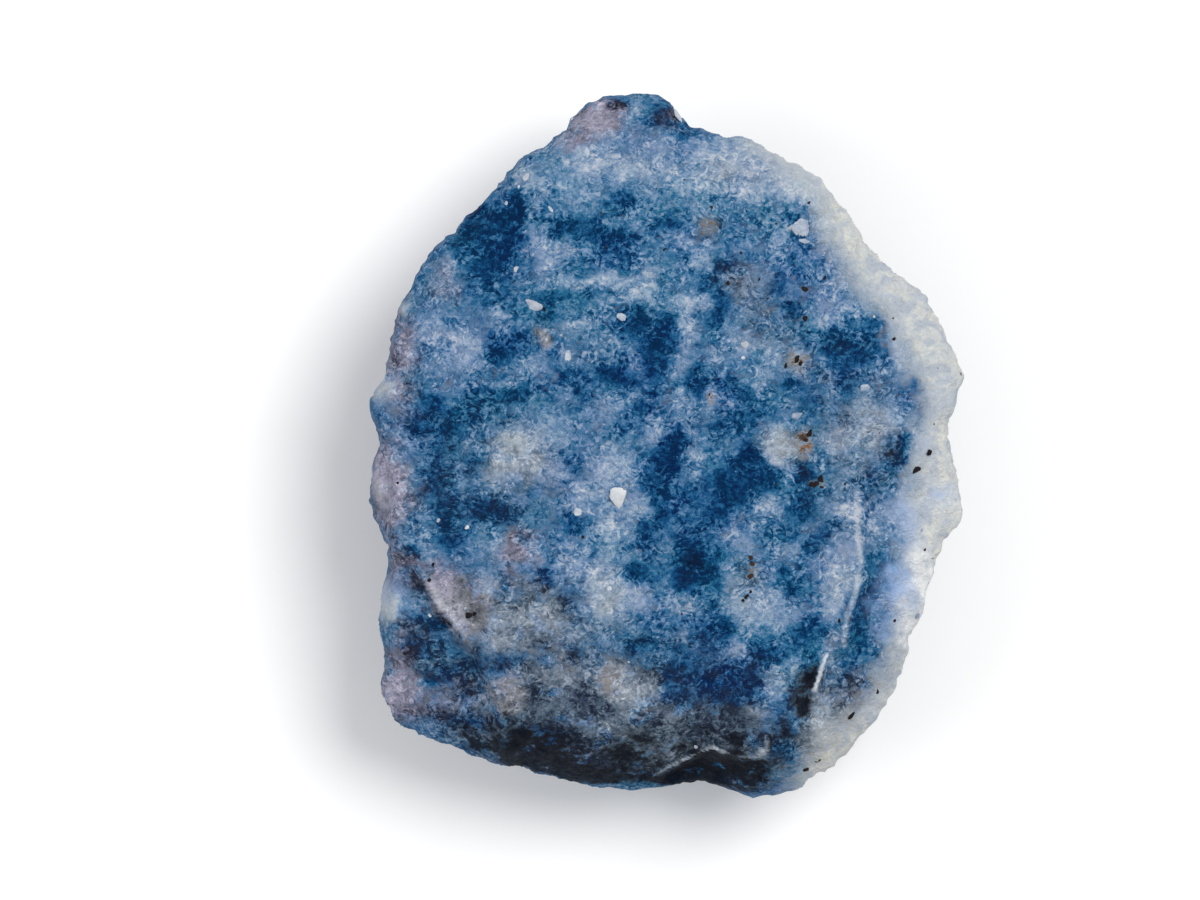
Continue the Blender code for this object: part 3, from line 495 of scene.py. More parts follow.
        (-9.5, -1.5, 5, 4.5, 0.27), (9.8, 0, 3, 6, 0.3), (11.8, -10.6, 0.9, 2.2, 0.3, 10),
    ],
    "cream": [  # pale lips at the left rim
        (-15.3, 2.9, 0.7, 0.5, 0.6, 40), (-14.2, 7.3, 0.4, 0.4, 0.5), (-15, -8.5, 0.4, 1.5, 0.65),
        (-15.4, -2.4, 0.5, 1.4, 0.4), (6.2, -0.2, 1, 0.8, 0.15),
    ],
    "sky": [  # light clear blue between the deeper blue and the pale rim
        (12.5, -7.6, 1, 1.4, 0.5, 5), (11.6, -9.2, 0.8, 1.2, 0.28), (14.8, -2.7, 0.9, 0.8, 0.35),
        (12.9, -4.2, 0.8, 1.4, 0.3), (-14.5, -7.8, 0.5, 1, 0.3),
    ],
    "white": [  # the brightest of the pale rim, at the lower right: partly pale stone, partly painted light shining through the thin edge
        (13.8, -7.2, 0.7, 1.9, 0.8, 8), (13.1, -10, 0.6, 1.6, 0.7, 15), (15.4, -3.6, 0.6, 1.2, 0.3, 10),
    ],
    "rust": [  # brown and tan staining
        (7, 4.4, 0.5, 0.7, 0.5), (7.5, 0.3, 0.5, 0.6, 0.6), (8.1, -1.9, 0.45, 0.35, 0.45),
        (2.3, 11.7, 0.6, 0.6, 0.38), (2.3, 2.6, 0.4, 0.5, 0.4), (4.5, -6.8, 0.4, 0.5, 0.4),
        (-3.2, -12.6, 0.8, 0.6, 0.25), (-10.6, -10.4, 0.6, 0.7, 0.27), (6.2, 0.2, 1.3, 1, 0.25),
        (-8.1, -6, 0.5, 0.6, 0.2),
    ],
    "dark": [  # near black: black specks, and painted shade along the bottom rim, where the stone is partly dark as well, in the hollow beside the ridge and under the lip of the lower left ledge
        (-1.7, -16.5, 1.8, 0.9, 0.6), (-3, -17.7, 1.8, 0.5, 0.8), (-5.8, -17, 1.8, 0.5, 0.6, -15),
        (2.8, -17.2, 2.4, 0.8, 0.9), (4.4, -17.5, 1.2, 0.5, 0.5), (7.5, -13.2, 0.6, 1.3, 0.9, -15),
        (7.4, -1.4, 0.5, 0.5, 0.5), (7.4, -14.1, 0.3, 0.3, 0.6), (4, -15.8, 0.6, 0.4, 0.7),
        (1, -16.1, 0.8, 0.4, 0.5), (-10.5, -9.1, 0.4, 0.3, 0.5), (-12.2, -9.4, 0.5, 0.4, 0.4),
        (-7.3, -16.9, 1.6, 0.4, 0.6, -15), (6.4, -15.4, 0.9, 0.6, 0.4), (-0.4, -17.6, 1.2, 0.5, 0.6),
        (8.1, -12.2, 0.3, 0.4, 0.4, -30), (-9, -16.6, 2.5, 0.6, 0.7, -15), (-6, -17.4, 2.5, 0.6, 0.8, -10),
        (-4.5, -17.9, 2, 0.6, 0.6, -8), (0, -18, 3, 0.5, 0.6), (3, -18.3, 2.5, 0.5, 0.8),
        # these three at the lower left ledge are a painted shadow under its lip
        (-13.4, -7.6, 0.3, 0.5, 0.4, 45), (-12, -9.3, 0.5, 0.25, 0.5, -35), (-13, -8, 0.4, 0.25, 0.5, -50),
        (-6.8, -15.9, 2.2, 0.8, 1, -8), (3.2, -17.3, 2.2, 0.8, 1.1), (2.6, -15.5, 2.4, 0.8, 0.25),
        (1.4, -6.6, 0.8, 1, 0.3), (-10.6, -15.7, 2, 0.5, 0.4, -15), (-2, -16.2, 2.5, 0.8, 0.25),
    ],
    "paleEdge": [
        (4.5, 19.7), (4.5, 16.2), (8, 13.4), (8.8, 10.7), (11, 7.9), (12.4, 5.7), (13.8, 2.5), (13.1, -1.3),
        (12.9, -5.1), (12.5, -8.3), (12.1, -11), (11.4, -13), (10.3, -14.3), (8.7, -15.3), (7.8, -16.6),
        (6.6, -19.1), (26.1, -20.8), (26.1, 19.2),
    ],
    "paleEdgeWidth": 2,
    "stray": [(1.7, 0.3, 51), (0.75, 0.26, 52), (0.36, 0.16, 53)],  # size of bends, reach, seed
    "patches": {  # on the wall and the back: size, amount and seed of each kind
        "blue": [(4.2, 0.3, 71), (2.1, 0.26, 72), (1, 0.18, 76)],
        "rose": [(3.6, 0.5, 73)],
        "grey": [(4, 0.6, 77)],
        "rust": [(2.8, 1, 74), (1.1, 0.4, 78)],
        "dark": [(3.1, 1, 75), (1.3, 0.4, 79)],
    },
    "patchBase": {"grey": 0.2, "rust": -0.5, "dark": -0.5},  # added to the patches of each kind
    "roseSlant": (0.3, 22),  # rose in the middle of the back, and mm to the right in which it falls by 1
    "marksFade": (1, 0.03),  # where on the fold the marks end, and over how much of it they fade
    "creamFade": (0.975, 0.02),
}


def markSum(x, y, marks):
    # the sum of soft oval marks: each its amount times e to the minus cube of the distance from its centre,
    # measured in its own half sizes
    total = np.zeros(len(x))
    for centreX, centreY, halfWidth, halfHeight, amount, *turn in marks:
        angle = np.radians(sum(turn))
        along = (x - centreX) * np.cos(angle) + (y - centreY) * np.sin(angle)
        across = (y - centreY) * np.cos(angle) - (x - centreX) * np.sin(angle)
        total += amount * np.exp(-((along / halfWidth) ** 2 + (across / halfHeight) ** 2) ** 1.5)
    return total


def colourFields(points, over):
    # for each point, how blue it is and its shares of cream, sky blue, white, rose, grey, rust and black,
    # each about 0 to 1: marks on the face, and random patches of the same kinds on the wall and the back
    x = points[:, 0] + lumpSum(points, markings["stray"])
    y = points[:, 1] + lumpSum(points, markings["stray"], 10)

    def faded(end, width):
        return np.clip((end - over) / width, 0, 1)

    onFace = faded(*markings["marksFade"])
    patches = {
        kind: np.clip(lumpSum(points, layers), -1, 1) + markings["patchBase"].get(kind, 0)
        for kind, layers in markings["patches"].items()
    }
    roseMiddle, roseRun = markings["roseSlant"]
    patches["rose"] += roseMiddle - x / roseRun

    def shareOf(kind):
        elsewhere = np.clip(patches.get(kind, 0), 0, 1)
        return onFace * markSum(x, y, markings[kind]) + (1 - onFace) * elsewhere

    marked = markings["strength"] * (markSum(x, y, markings["darkBlue"]) - markSum(x, y, markings["pale"]))
    marked = markings["limit"] * np.tanh(marked / markings["limit"])
    # the pale edge lines: partly wear, partly painted highlight; they also take the black off along them
    wearAndHighlight, whitened = np.zeros(len(x)), np.zeros(len(x))
    for line, halfWidth, paleness, whiteness in markings["wornEdgesAndHighlights"]:
        near = np.clip(1.5 - distanceFrom(points[:, 0], points[:, 1], line) / halfWidth, 0, 1)
        wearAndHighlight += paleness * near
        whitened += whiteness * near
    edge = np.clip(depthInside(x, y, markings["paleEdge"]) / markings["paleEdgeWidth"] + 0.5, 0, 1)
    lips = faded(*markings["creamFade"]) * markSum(x, y, markings["cream"])
    return {
        "blueDepth": markings["plain"] + onFace * (marked - wearAndHighlight) + (1 - onFace) * patches["blue"],
        "skyShare": shareOf("sky"),
        "whiteShare": shareOf("white") + onFace * whitened,
        "creamShare": np.clip(edge + lips, 0, 1),
        "roseShare": shareOf("rose"),
        "greyShare": shareOf("grey"),
        "rustShare": shareOf("rust"),
        "darkShare": shareOf("dark") - 2 * onFace * wearAndHighlight,
    }


# Materials

colours = {  # linear light; the body's run from the palest to the bluest, each with its place in the ramp
    "body": [
        (0.03, (0.456, 0.491, 0.552, 1)), (0.13, (0.325, 0.39, 0.495, 1)), (0.23, (0.245, 0.328, 0.44, 1)),
        (0.38, (0.14, 0.227, 0.377, 1)), (0.56, (0.052, 0.145, 0.27, 1)), (0.66, (0.02, 0.11, 0.245, 1)),
        (0.77, (0.006, 0.068, 0.175, 1)), (0.87, (0.002, 0.038, 0.118, 1)), (1, (0.001, 0.017, 0.066, 1)),
    ],
    "white": (0.74, 0.75, 0.76, 1),
    "cream": (0.645, 0.64, 0.59, 1),
    "paleGrey": (0.43, 0.468, 0.52, 1),
    "sky": (0.29, 0.42, 0.7, 1),
    "roseTint": (1.08, 0.96, 1.24, 1),
    "greyTint": (0.92, 1, 1.08, 1),
    "tan": (0.33, 0.285, 0.225, 1),
    "rust": (0.21, 0.09, 0.038, 1),
    "darkRust": (0.036, 0.018, 0.012, 1),
    "black": (0.004, 0.006, 0.012, 1),
    "brownBlack": (0.012, 0.013, 0.016, 1),
}


class NodeSheet:
    # adds nodes and joins them, so that each material reads top to bottom

    def __init__(self, tree):
        self.tree = tree

    def feed(self, socket, value):
        if isinstance(value, bpy.types.NodeSocket):
            self.tree.links.new(value, socket)
        else:
            socket.default_value = value

    def add(self, kind, settings=None, **inputs):
        node = self.tree.nodes.new(kind)
        for name, value in (settings or {}).items():
            setattr(node, name, value)
        for name, value in inputs.items():
            self.feed(node.inputs[name.replace("_", " ")], value)
        return node

    def maths(self, operation, *values, kind="ShaderNodeMath"):
        node = self.add(kind, {"operation": operation})
        for i, value in enumerate(values):
            self.feed(node.inputs[i], value)
        return node.outputs[0]

    def total(self, first, *parts):
        # the first value plus each further value times its amount
        for value, amount in parts:
            first = self.maths("MULTIPLY_ADD", value, amount, first)
        return first

    def mix(self, share, first, second, blend="MIX"):
        node = self.add("ShaderNodeMix", {"data_type": "RGBA", "blend_type": blend, "clamp_factor": True})
        for i, value in ((0, share), (6, first), (7, second)):
            self.feed(node.inputs[i], value)
        return node.outputs[2]

    def ramp(self, value, stops):
        node = self.add("ShaderNodeValToRGB")
        elements = node.color_ramp.elements
        while len(elements) < len(stops):
            elements.new(0.5)
        for element, (position, colour) in zip(elements, stops):
            element.position = position
            element.color = colour
        self.feed(node.inputs[0], value)
        return node.outputs[0]

    def spread(self, value, low, high, newLow=0.0, newHigh=1.0):
        node = self.add("ShaderNodeMapRange")
        for i, number in enumerate((value, low, high, newLow, newHigh)):
            self.feed(node.inputs[i], number)
        return node.outputs[0]


def newGroup(name, inputs, outputs):
    # a node group: a place and numbers, each with its start value, as inputs, and numbers as outputs
    group = bpy.data.node_groups.new(name, "ShaderNodeTree")
    group.interface.new_socket("Place", in_out="INPUT", socket_type="NodeSocketVector")
    for title, start in inputs:
        socket = group.interface.new_socket(title, in_out="INPUT", socket_type="NodeSocketFloat")
        socket.default_value = start
    for title in outputs:
        group.interface.new_socket(title, in_out="OUTPUT", socket_type="NodeSocketFloat")
    inside = group.nodes.new("NodeGroupInput").outputs
    outside = group.nodes.new("NodeGroupOutput").inputs
    return group, NodeSheet(group), inside, outside


mineral = {
    "cloudDetail": (3.5, 0.74),  # detail and roughness of the noise
    "bend": (4.0, 0.3),  # how fine, and how far in mm the flecks are bent
    "flecks": [(1.0, 0.42), (1.8, 0.34), (3.2, 0.24)],  # how much finer than the cell size, weight
    "curds": [(1.7, 2.0, 0.45, 0.55), (4.0, 1.2, 0.43, 0.42)],  # finer, swirl, beginning, weight
    "creases": (1.7, 0.02),  # how much finer than the clouds, half width of a crease in the noise
}


def mottleGroup():
    # mineral mottling: cloudy noise, crisp flecks as cells of three sizes laid over each other, curds as
    # two sizes of strongly swirled noise with crisp edges, and creases along another noise's middle level
    group, sheet, inside, outside = newGroup(
        "mineral mottling", [("Cloud size", 1.0), ("Cell size", 0.25), ("Stretch", 1.1)],
        ["Clouds", "Cells", "Curds", "Creases"])
    vectors = "ShaderNodeVectorMath"
    alongX = sheet.maths("DIVIDE", 1 / mm, inside["Stretch"])
    perMm = sheet.add("ShaderNodeCombineXYZ", X=alongX, Y=1 / mm, Z=1 / mm).outputs[0]
    place = sheet.maths("MULTIPLY", inside["Place"], perMm, kind=vectors)
    cloudScale = sheet.maths("DIVIDE", 1.0, inside["Cloud size"])
    cellScale = sheet.maths("DIVIDE", 1.0, inside["Cell size"])

    def noise(finer, detail, roughness, swirl=0.0):
        scale = sheet.maths("MULTIPLY", cloudScale, finer)
        return sheet.add("ShaderNodeTexNoise", Vector=place, Scale=scale, Detail=detail,
                         Roughness=roughness, Distortion=swirl).outputs[0]

    clouds = noise(1.0, *mineral["cloudDetail"])
    bendScale, bendReach = mineral["bend"]
    bend = sheet.add("ShaderNodeTexNoise", Vector=place, Scale=bendScale, Detail=2.0).outputs["Color"]
    bent = sheet.maths("MULTIPLY_ADD", bend, (bendReach, bendReach, bendReach), place, kind=vectors)
    flecks = 0.0
    for finer, weight in mineral["flecks"]:
        scale = sheet.maths("MULTIPLY", cellScale, finer)
        cells = sheet.add("ShaderNodeTexVoronoi", Vector=bent, Scale=scale)
        tone = sheet.add("ShaderNodeSeparateColor", Color=cells.outputs["Color"]).outputs[0]
        flecks = sheet.total(flecks, (tone, weight))
    curds = 0.0
    for finer, swirl, low, weight in mineral["curds"]:
        swirled = sheet.spread(noise(finer, 1.0, 0.6, swirl), low, 1 - low, -1.0, 1.0)
        curds = sheet.total(curds, (swirled, weight))
    creaseFiner, creaseWidth = mineral["creases"]
    levels = noise(creaseFiner, 3.0, 0.6, 0.3)
    fromMiddle = sheet.maths("ABSOLUTE", sheet.maths("SUBTRACT", levels, 0.5))
    sheet.feed(outside["Clouds"], sheet.spread(clouds, 0.3, 0.7, -1.0, 1.0))
    sheet.feed(outside["Cells"], sheet.spread(flecks, 0.15, 0.85, -1.0, 1.0))
    sheet.feed(outside["Curds"], curds)
    sheet.feed(outside["Creases"], sheet.spread(fromMiddle, 0.0, creaseWidth, 1.0, 0.0))
    return group


mineralMottling = mottleGroup()


def mottled(sheet, place, cloudSize, cellSize):
    # places the mottling group in a material, with its sizes in mm
    node = sheet.add("ShaderNodeGroup", {"node_tree": mineralMottling})
    for title, value in (("Place", place), ("Cloud size", cloudSize), ("Cell size", cellSize)):
        sheet.feed(node.inputs[title], value)
    return node.outputs


def newMaterial(name):
    material = bpy.data.materials.new(name)
    material.use_nodes = True
    return material, NodeSheet(material.node_tree), material.node_tree.nodes["Principled BSDF"]


stoneLook = {
    "mottling": (1.0, 0.28),  # size of the clouds and of the flecks, in mm
    "drift": (3.5, 0.9),  # the same for a coarser mottling, by which the stone changes from place to place
    "clouds": 0.13,  # how strongly each part of the mottling shifts the blue
    "cells": 0.13,
    "curds": 0.26,
    # the creases are dark thin lines: partly seams in the stone, partly painted shade in crevices between
    # flakes
    "creases": 0.14,
    "curdsByPlace": (0.35, 1.25),  # how strong the curds are where they are faintest and strongest
    "curdsByBlue": (0.6, 1.0),  # and in pale and in blue stone
    "terrace": 0.13,  # the blue also goes in steps of this size, which gives the patches clear edges
    "terraced": 0.8,
    "rampEnds": (-0.15, 0.98),  # the blue that the ramp runs between
    "hue": 0.498,  # 0.5 leaves the ramp's own hue, less is greener
    "hueDrift": 0.011,
    "uneven": 0.9,  # how much the clouds vary the other colours where they are
    "laidOver": {  # share at which each colour begins, share at which it is at its most, that most
        "rose": (0.1, 0.9, 0.8), "grey": (0.1, 0.9, 0.7), "cream": (0.1, 0.95, 0.92),
        "sky": (0, 1, 1), "white": (0, 1, 1), "tan": (0.2, 0.6, 0.6), "rust": (0.5, 0.8, 0.85),
        "black": (0.1, 0.8, 0.92),
    },
    "specular": 0.04,
    "roughness": (0.55, 0.8),
    "bump": 0.9,
    "bumpDepth": 0.04,  # in mm
}


def stoneMaterial(fieldNames):
    # how blue, shifted by the mottling, read through a ramp from whitish to navy; then each other colour
    # laid over it by its own share
    material, sheet, shader = newMaterial("blue spot jasper")
    place = sheet.add("ShaderNodeTexCoord").outputs["Object"]
    field = {
        name: sheet.add("ShaderNodeAttribute", {"attribute_name": name}).outputs["Fac"]
        for name in fieldNames
    }
    mottling = mottled(sheet, place, *stoneLook["mottling"])
    drift = mottled(sheet, place, *stoneLook["drift"])
    uneven = sheet.maths("MULTIPLY_ADD", mottling["Clouds"], stoneLook["uneven"], 1.0)

    lively = sheet.maths(
        "MULTIPLY", sheet.spread(drift["Cells"], -0.5, 0.5, *stoneLook["curdsByPlace"]),
        sheet.spread(field["blueDepth"], 0.05, 0.45, *stoneLook["curdsByBlue"]))
    curds = sheet.maths("MULTIPLY", mottling["Curds"], lively)
    # the creases darken the blue: partly dark seams, partly painted shade in the crevices
    blue = sheet.total(
        field["blueDepth"], (mottling["Clouds"], stoneLook["clouds"]),
        (mottling["Cells"], stoneLook["cells"]), (curds, stoneLook["curds"]),
        (mottling["Creases"], stoneLook["creases"]))
    level = sheet.maths("DIVIDE", blue, stoneLook["terrace"])
    part = sheet.maths("FLOORED_MODULO", level, 1.0)
    gained = sheet.maths("SUBTRACT", sheet.spread(part, 0.35, 0.65), part)
    blue = sheet.total(blue, (gained, stoneLook["terrace"] * stoneLook["terraced"]))
    body = sheet.ramp(sheet.spread(blue, *stoneLook["rampEnds"]), colours["body"])
    hue = sheet.maths("MULTIPLY_ADD", drift["Clouds"], stoneLook["hueDrift"], stoneLook["hue"])
    body = sheet.add("ShaderNodeHueSaturation", Hue=hue, Color=body).outputs[0]

    def laidOver(kind, share, colour):
        begins, full, most = stoneLook["laidOver"][kind]
        return sheet.mix(sheet.spread(share, begins, full, 0.0, most), body, colour)

    def unevenShare(kind):
        return sheet.maths("MULTIPLY", field[kind + "Share"], uneven)

    brightness = sheet.add("ShaderNodeRGBToBW", Color=body).outputs[0]
    for kind in ("rose", "grey"):
        tinted = sheet.mix(1.0, colours[kind + "Tint"], brightness, "MULTIPLY")
        body = laidOver(kind, unevenShare(kind), tinted)

    watery = sheet.total(drift["Curds"], (drift["Clouds"], 0.8), (mottling["Clouds"], 0.3))
    cream = sheet.mix(sheet.spread(watery, -0.9, 0.9), colours["cream"], colours["paleGrey"])
    tooBlue = sheet.spread(field["blueDepth"], 0.5, 0.85)
    share = sheet.total(field["creamShare"], (mottling["Clouds"], 0.12), (mottling["Curds"], 0.1),
                        (drift["Clouds"], 0.1), (drift["Curds"], 0.12), (tooBlue, -0.7))
    body = laidOver("cream", share, cream)
    for kind in ("sky", "white"):
        body = laidOver(kind, unevenShare(kind), colours[kind])

    rust = sheet.mix(sheet.spread(mottling["Clouds"], -0.3, 0.4), colours["rust"], colours["darkRust"])
    spotted = sheet.total(1.0, (mottling["Curds"], 0.6), (mottling["Cells"], 0.7))
    share = sheet.maths("MULTIPLY", field["rustShare"], spotted)
    body = laidOver("tan", share, colours["tan"])
    body = laidOver("rust", share, rust)

    # black specks, and also the painted shade of the bottom rim, the hollow beside the ridge and the lower
    # left ledge
    black = sheet.mix(sheet.spread(mottling["Clouds"], -0.5, 0.5), colours["brownBlack"], colours["black"])
    body = laidOver("black", unevenShare("dark"), black)
    sheet.feed(shader.inputs["Base Color"], body)

    roughness = sheet.spread(mottling["Cells"], -1.0, 1.0, *stoneLook["roughness"])
    sheet.feed(shader.inputs["Roughness"], roughness)
    height = sheet.total(mottling["Clouds"], (mottling["Cells"], 0.3), (mottling["Curds"], 0.5),
                         (mottling["Creases"], -0.3))
    bump = sheet.add("ShaderNodeBump", Strength=stoneLook["bump"], Distance=stoneLook["bumpDepth"] * mm,
                     Height=height)
    sheet.feed(shader.inputs["Normal"], bump.outputs[0])
    shader.inputs["Specular IOR Level"].default_value = stoneLook["specular"]
    return material


def makeStone():
    points, over = stonePoints(stone["gridCells"])
    used, faces = gridFaces(stone["gridCells"])
    points, over = points[used], over[used]
    piece = meshFrom("jasperStone", points, faces)
    fields = colourFields(points, over)
    for name, values in fields.items():
        addField(piece, name, values)
    piece.data.materials.append(stoneMaterial(fields))
    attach(piece, "root")
    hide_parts("stone")
    normals = np.empty(len(points) * 3)
    piece.data.vertex_normals.foreach_get("vector", normals)
    return piece, points, normals.reshape(-1, 3), over, fields


jasperStone, stoneSurface, stoneNormals, stoneOver, stoneFields = makeStone()
print("stone made:", len(jasperStone.data.polygons), "faces")


# Grains: small crystals half sunk in the surface, in mm; those placed one by one have
# x, y, radius, stretch, turn in degrees, shade from dull to bright
paleGrains = {
    "placed": [
        (-2.6, -2.8, 0.47, 1.15, 100, 1), (-4.8, -3.6, 0.2, 1.1, 30, 0.7),
        (-7.1, 7.55, 0.28, 1.5, -10, 0.45), (-5.25, 4.8, 0.22, 1.2, 80, 0.55),
        (-8.05, 9.5, 0.14, 1.3, 90, 0.6), (-2.4, 6.85, 0.19, 1.3, -40, 0.5),
        (-7.55, 14.4, 0.2, 1.1, 0, 0.5), (-7.9, 13.9, 0.11, 1, 0, 0.6), (-6.2, 12.65, 0.14, 1.7, -50, 0.5),
        (0.6, 17.8, 0.34, 1.2, -50, 0.6), (7.25, 11.75, 0.46, 1.15, -30, 0.3),
        (6.75, 11.65, 0.16, 1.8, 10, 0.4), (7.4, 10.95, 0.17, 1.7, 0, 0.35),
        (4.2, 5.4, 0.18, 1.3, -40, 0.6), (4.1, 4.7, 0.12, 1, 0, 0.8), (-10.7, -4.4, 0.13, 1, 0, 0.7),
        (-12.2, -4, 0.11, 1, 0, 0.5), (-12.7, -9.1, 0.11, 1, 0, 0.8), (7, 1.6, 0.2, 1.2, 20, 0.2),
        (10.65, 3.1, 0.18, 1.7, 20, 0.3), (-8.6, 13, 0.1, 1, 0, 0.4),
    ],
    "placedHeight": 0.38,  # as a share of the radius
    "placedCells": 16,  # how finely each is divided
    "placedSeed": 5,
    "scattered": 60,
    "radii": (0.05, 0.14),
    "scatteredHeight": 0.4,
    "scatteredSeed": 6,
    "dull": (0.19, 0.25, 0.36, 1),
    "bright": (0.57, 0.59, 0.61, 1),
    "roughness": 0.45,
    "specular": 0.2,
}
darkGrains = {
    "placed": [
        (6.4, 4.25, 0.16, 1.2, 20, 0.05), (7, 4.6, 0.15, 1.3, 60, 0.2), (6.85, 4.3, 0.15, 1.2, 30, 0.1),
        (7.2, 4.4, 0.11, 1.3, 60, 0.2), (7.65, 0.65, 0.15, 1.4, 70, 0.2), (7.45, 0.3, 0.12, 1, 0, 0.9),
        (8.25, -1.8, 0.16, 1.4, 80, 0.2), (7.8, -2.1, 0.15, 1.2, 20, 0.05), (8.05, -2, 0.12, 1, 0, 0.4),
        (7.6, -2.8, 0.12, 1, 0, 0.15), (7.4, 8.4, 0.12, 1.3, -30, 0.15), (7.4, 6.8, 0.15, 1, 0, 0.15),
        (6.8, 9.7, 0.09, 1.6, -60, 0.15), (3.3, 8.7, 0.1, 1.3, -20, 0.15), (4, 10.3, 0.09, 1, 0, 0.15),
        (5, 8.9, 0.09, 1.3, 20, 0.15), (8.5, 9, 0.08, 1.4, 80, 0.15), (9.1, 8.5, 0.06, 1, 0, 0.15),
        (12.2, 5.7, 0.1, 1, 0, 0.15), (2.3, 2.7, 0.1, 1.2, 50, 0.75), (4.5, -6, 0.11, 1.2, -50, 0.75),
        (4.6, -6.3, 0.11, 1.3, -70, 0.75), (4.5, -7, 0.12, 1.5, 0, 0.75), (4.5, -7.8, 0.1, 1, 0, 0.15),
        (4.1, -8.3, 0.08, 1, 0, 0.15), (13.4, -1.3, 0.18, 1.3, 20, 0.15), (14.1, -0.4, 0.16, 1, 0, 0.15),
        (13.9, -5.6, 0.08, 1, 0, 0.15), (12.3, -9.4, 0.08, 1, 0, 0.15),
        (11.35, -13.25, 0.13, 1.5, 105, 0.1), (10, -14.5, 0.13, 1.9, 25, 0.1),
        (9.25, -9.4, 0.07, 1.6, 90, 0.1), (8, -13.5, 0.11, 1, 0, 0.15), (7.4, -15.5, 0.12, 1, 0, 0.15),
        (8.2, -17, 0.14, 1.2, 60, 0.15), (7.6, -17.5, 0.16, 1.3, 10, 0.15), (-2.7, 18.3, 0.13, 1, 0, 0.15),
        (-4.5, 17.3, 0.09, 1.4, 60, 0.15), (-4.5, -4.9, 0.08, 1, 0, 0.15), (-2.5, -5.5, 0.08, 1, 0, 0.15),
        (-14.4, -2, 0.08, 1, 0, 0.15), (-12.5, -6.4, 0.1, 1, 0, 0.15), (-12.7, -7.2, 0.1, 1, 0, 0.15),
        (-10.6, -9.1, 0.15, 1.2, 20, 0.15), (-10.3, -9, 0.12, 1, 0, 0.15), (-6.8, -7.2, 0.08, 1, 0, 0.15),
        (-0.1, 10.5, 0.08, 1, 0, 0.15), (7.1, 7.6, 0.08, 1, 0, 0.15), (4.3, -8.1, 0.1, 1.2, 30, 0.15),
    ],
    "placedHeight": 0.25,
    "placedCells": 12,
    "placedSeed": 8,
    "scattered": 50,
    "radii": (0.04, 0.11),
    "scatteredHeight": 0.3,
    "scatteredSeed": 9,
    "dull": (0.005, 0.005, 0.007, 1),
    "bright": (0.040, 0.021, 0.014, 1),
    "roughness": 0.6,
    "specular": 0.1,
}
crystal = {
    "sides": 9,  # broken planes that bound each grain
    "planesAt": (0.6, 1.0),  # how far from its middle they lie, in radii
    "farthest": 1.3,  # that a corner may reach, in radii
    "lift": 0.1,  # how much of its height each grain's middle stands above the surface
    "scatteredCells": 8,
    "lowest": 0.5,  # height above the table under which none are scattered
    "clearance": 0.02,  # that the grains keep from the table
}


def crystalLumps(centres, outward, radii, height, stretches, turns, shades, cells, seed):
    # small many-faced lumps: in each direction, the least distance at which one of a few random planes is
    # met; each is stretched along the surface it sits in and flattened towards it
    random = np.random.default_rng(seed)
    degrees, over = foldedGrid(cells)
    used, faces = gridFaces(cells)
    azimuth, polar = np.radians(degrees[used]), np.radians(90 * over[used])
    directions = np.column_stack(
        [np.sin(polar) * np.cos(azimuth), np.sin(polar) * np.sin(azimuth), np.cos(polar)])
    planes = random.normal(size=(len(centres), crystal["sides"], 3))
    planes /= np.linalg.norm(planes, axis=2, keepdims=True)
    away = random.uniform(*crystal["planesAt"], size=(len(centres), crystal["sides"]))
    facing = np.maximum(np.einsum("mk,npk->nmp", directions, planes), 0.05)
    reach = np.minimum((away[:, None, :] / facing).min(axis=2), crystal["farthest"])
    local = directions[None] * reach[:, :, None] * radii[:, None, None]
    cosTurn, sinTurn = np.cos(np.radians(turns))[:, None], np.sin(np.radians(turns))[:, None]
    along, across = local[:, :, 0] * stretches[:, None], local[:, :, 1]
    first = np.where(np.abs(outward[:, :1]) < 0.8, (1.0, 0.0, 0.0), (0.0, 1.0, 0.0))
    first = first - (first * outward).sum(axis=1, keepdims=True) * outward
    first /= np.linalg.norm(first, axis=1, keepdims=True)
    second = np.cross(outward, first)
    lifted = centres + outward * (crystal["lift"] * radii * height)[:, None]
    points = (lifted[:, None]
              + (along * cosTurn - across * sinTurn)[:, :, None] * first[:, None]
              + (along * sinTurn + across * cosTurn)[:, :, None] * second[:, None]
              + (local[:, :, 2:] * height) * outward[:, None])
    offsets = np.arange(len(centres))[:, None, None] * len(directions)
    return points.reshape(-1, 3), (faces[None] + offsets).reshape(-1, 4), np.repeat(shades, len(directions))


def placedLumps(look):
    # lumps at given places on the face, each at the nearest point of the stone's upper surface
    x, y, radii, stretches, turns, shades = np.array(look["placed"]).T
    upper = np.flatnonzero(stoneOver < 1)
    surface = stoneSurface[upper, :2]
    away = (surface[None, :, 0] - x[:, None]) ** 2 + (surface[None, :, 1] - y[:, None]) ** 2
    nearest = upper[away.argmin(axis=1)]
    centres = np.column_stack([x, y, stoneSurface[nearest, 2]])
    return crystalLumps(centres, stoneNormals[nearest], radii, look["placedHeight"], stretches, turns,
                        shades, look["placedCells"], look["placedSeed"])


def scatteredLumps(look, likely):
    # lumps at random points all over the stone, more of them where they are likely, mostly small
    count, seed = look["scattered"], look["scatteredSeed"]
    random = np.random.default_rng(seed)
    likely = np.where(stoneSurface[:, 2] > crystal["lowest"], np.clip(likely, 0, 1), 0)
    chosen = random.choice(len(stoneSurface), count, replace=False, p=likely / likely.sum())
    low, high = look["radii"]
    radii = low + (high - low) * random.uniform(size=count) ** 3
    turns = random.uniform(0, 360, count)
    stretches = random.uniform(1, 1.6, count)
    shades = random.uniform(0, 0.7, count)
    return crystalLumps(stoneSurface[chosen], stoneNormals[chosen], radii, look["scatteredHeight"],
                        stretches, turns, shades, crystal["scatteredCells"], seed + 1)


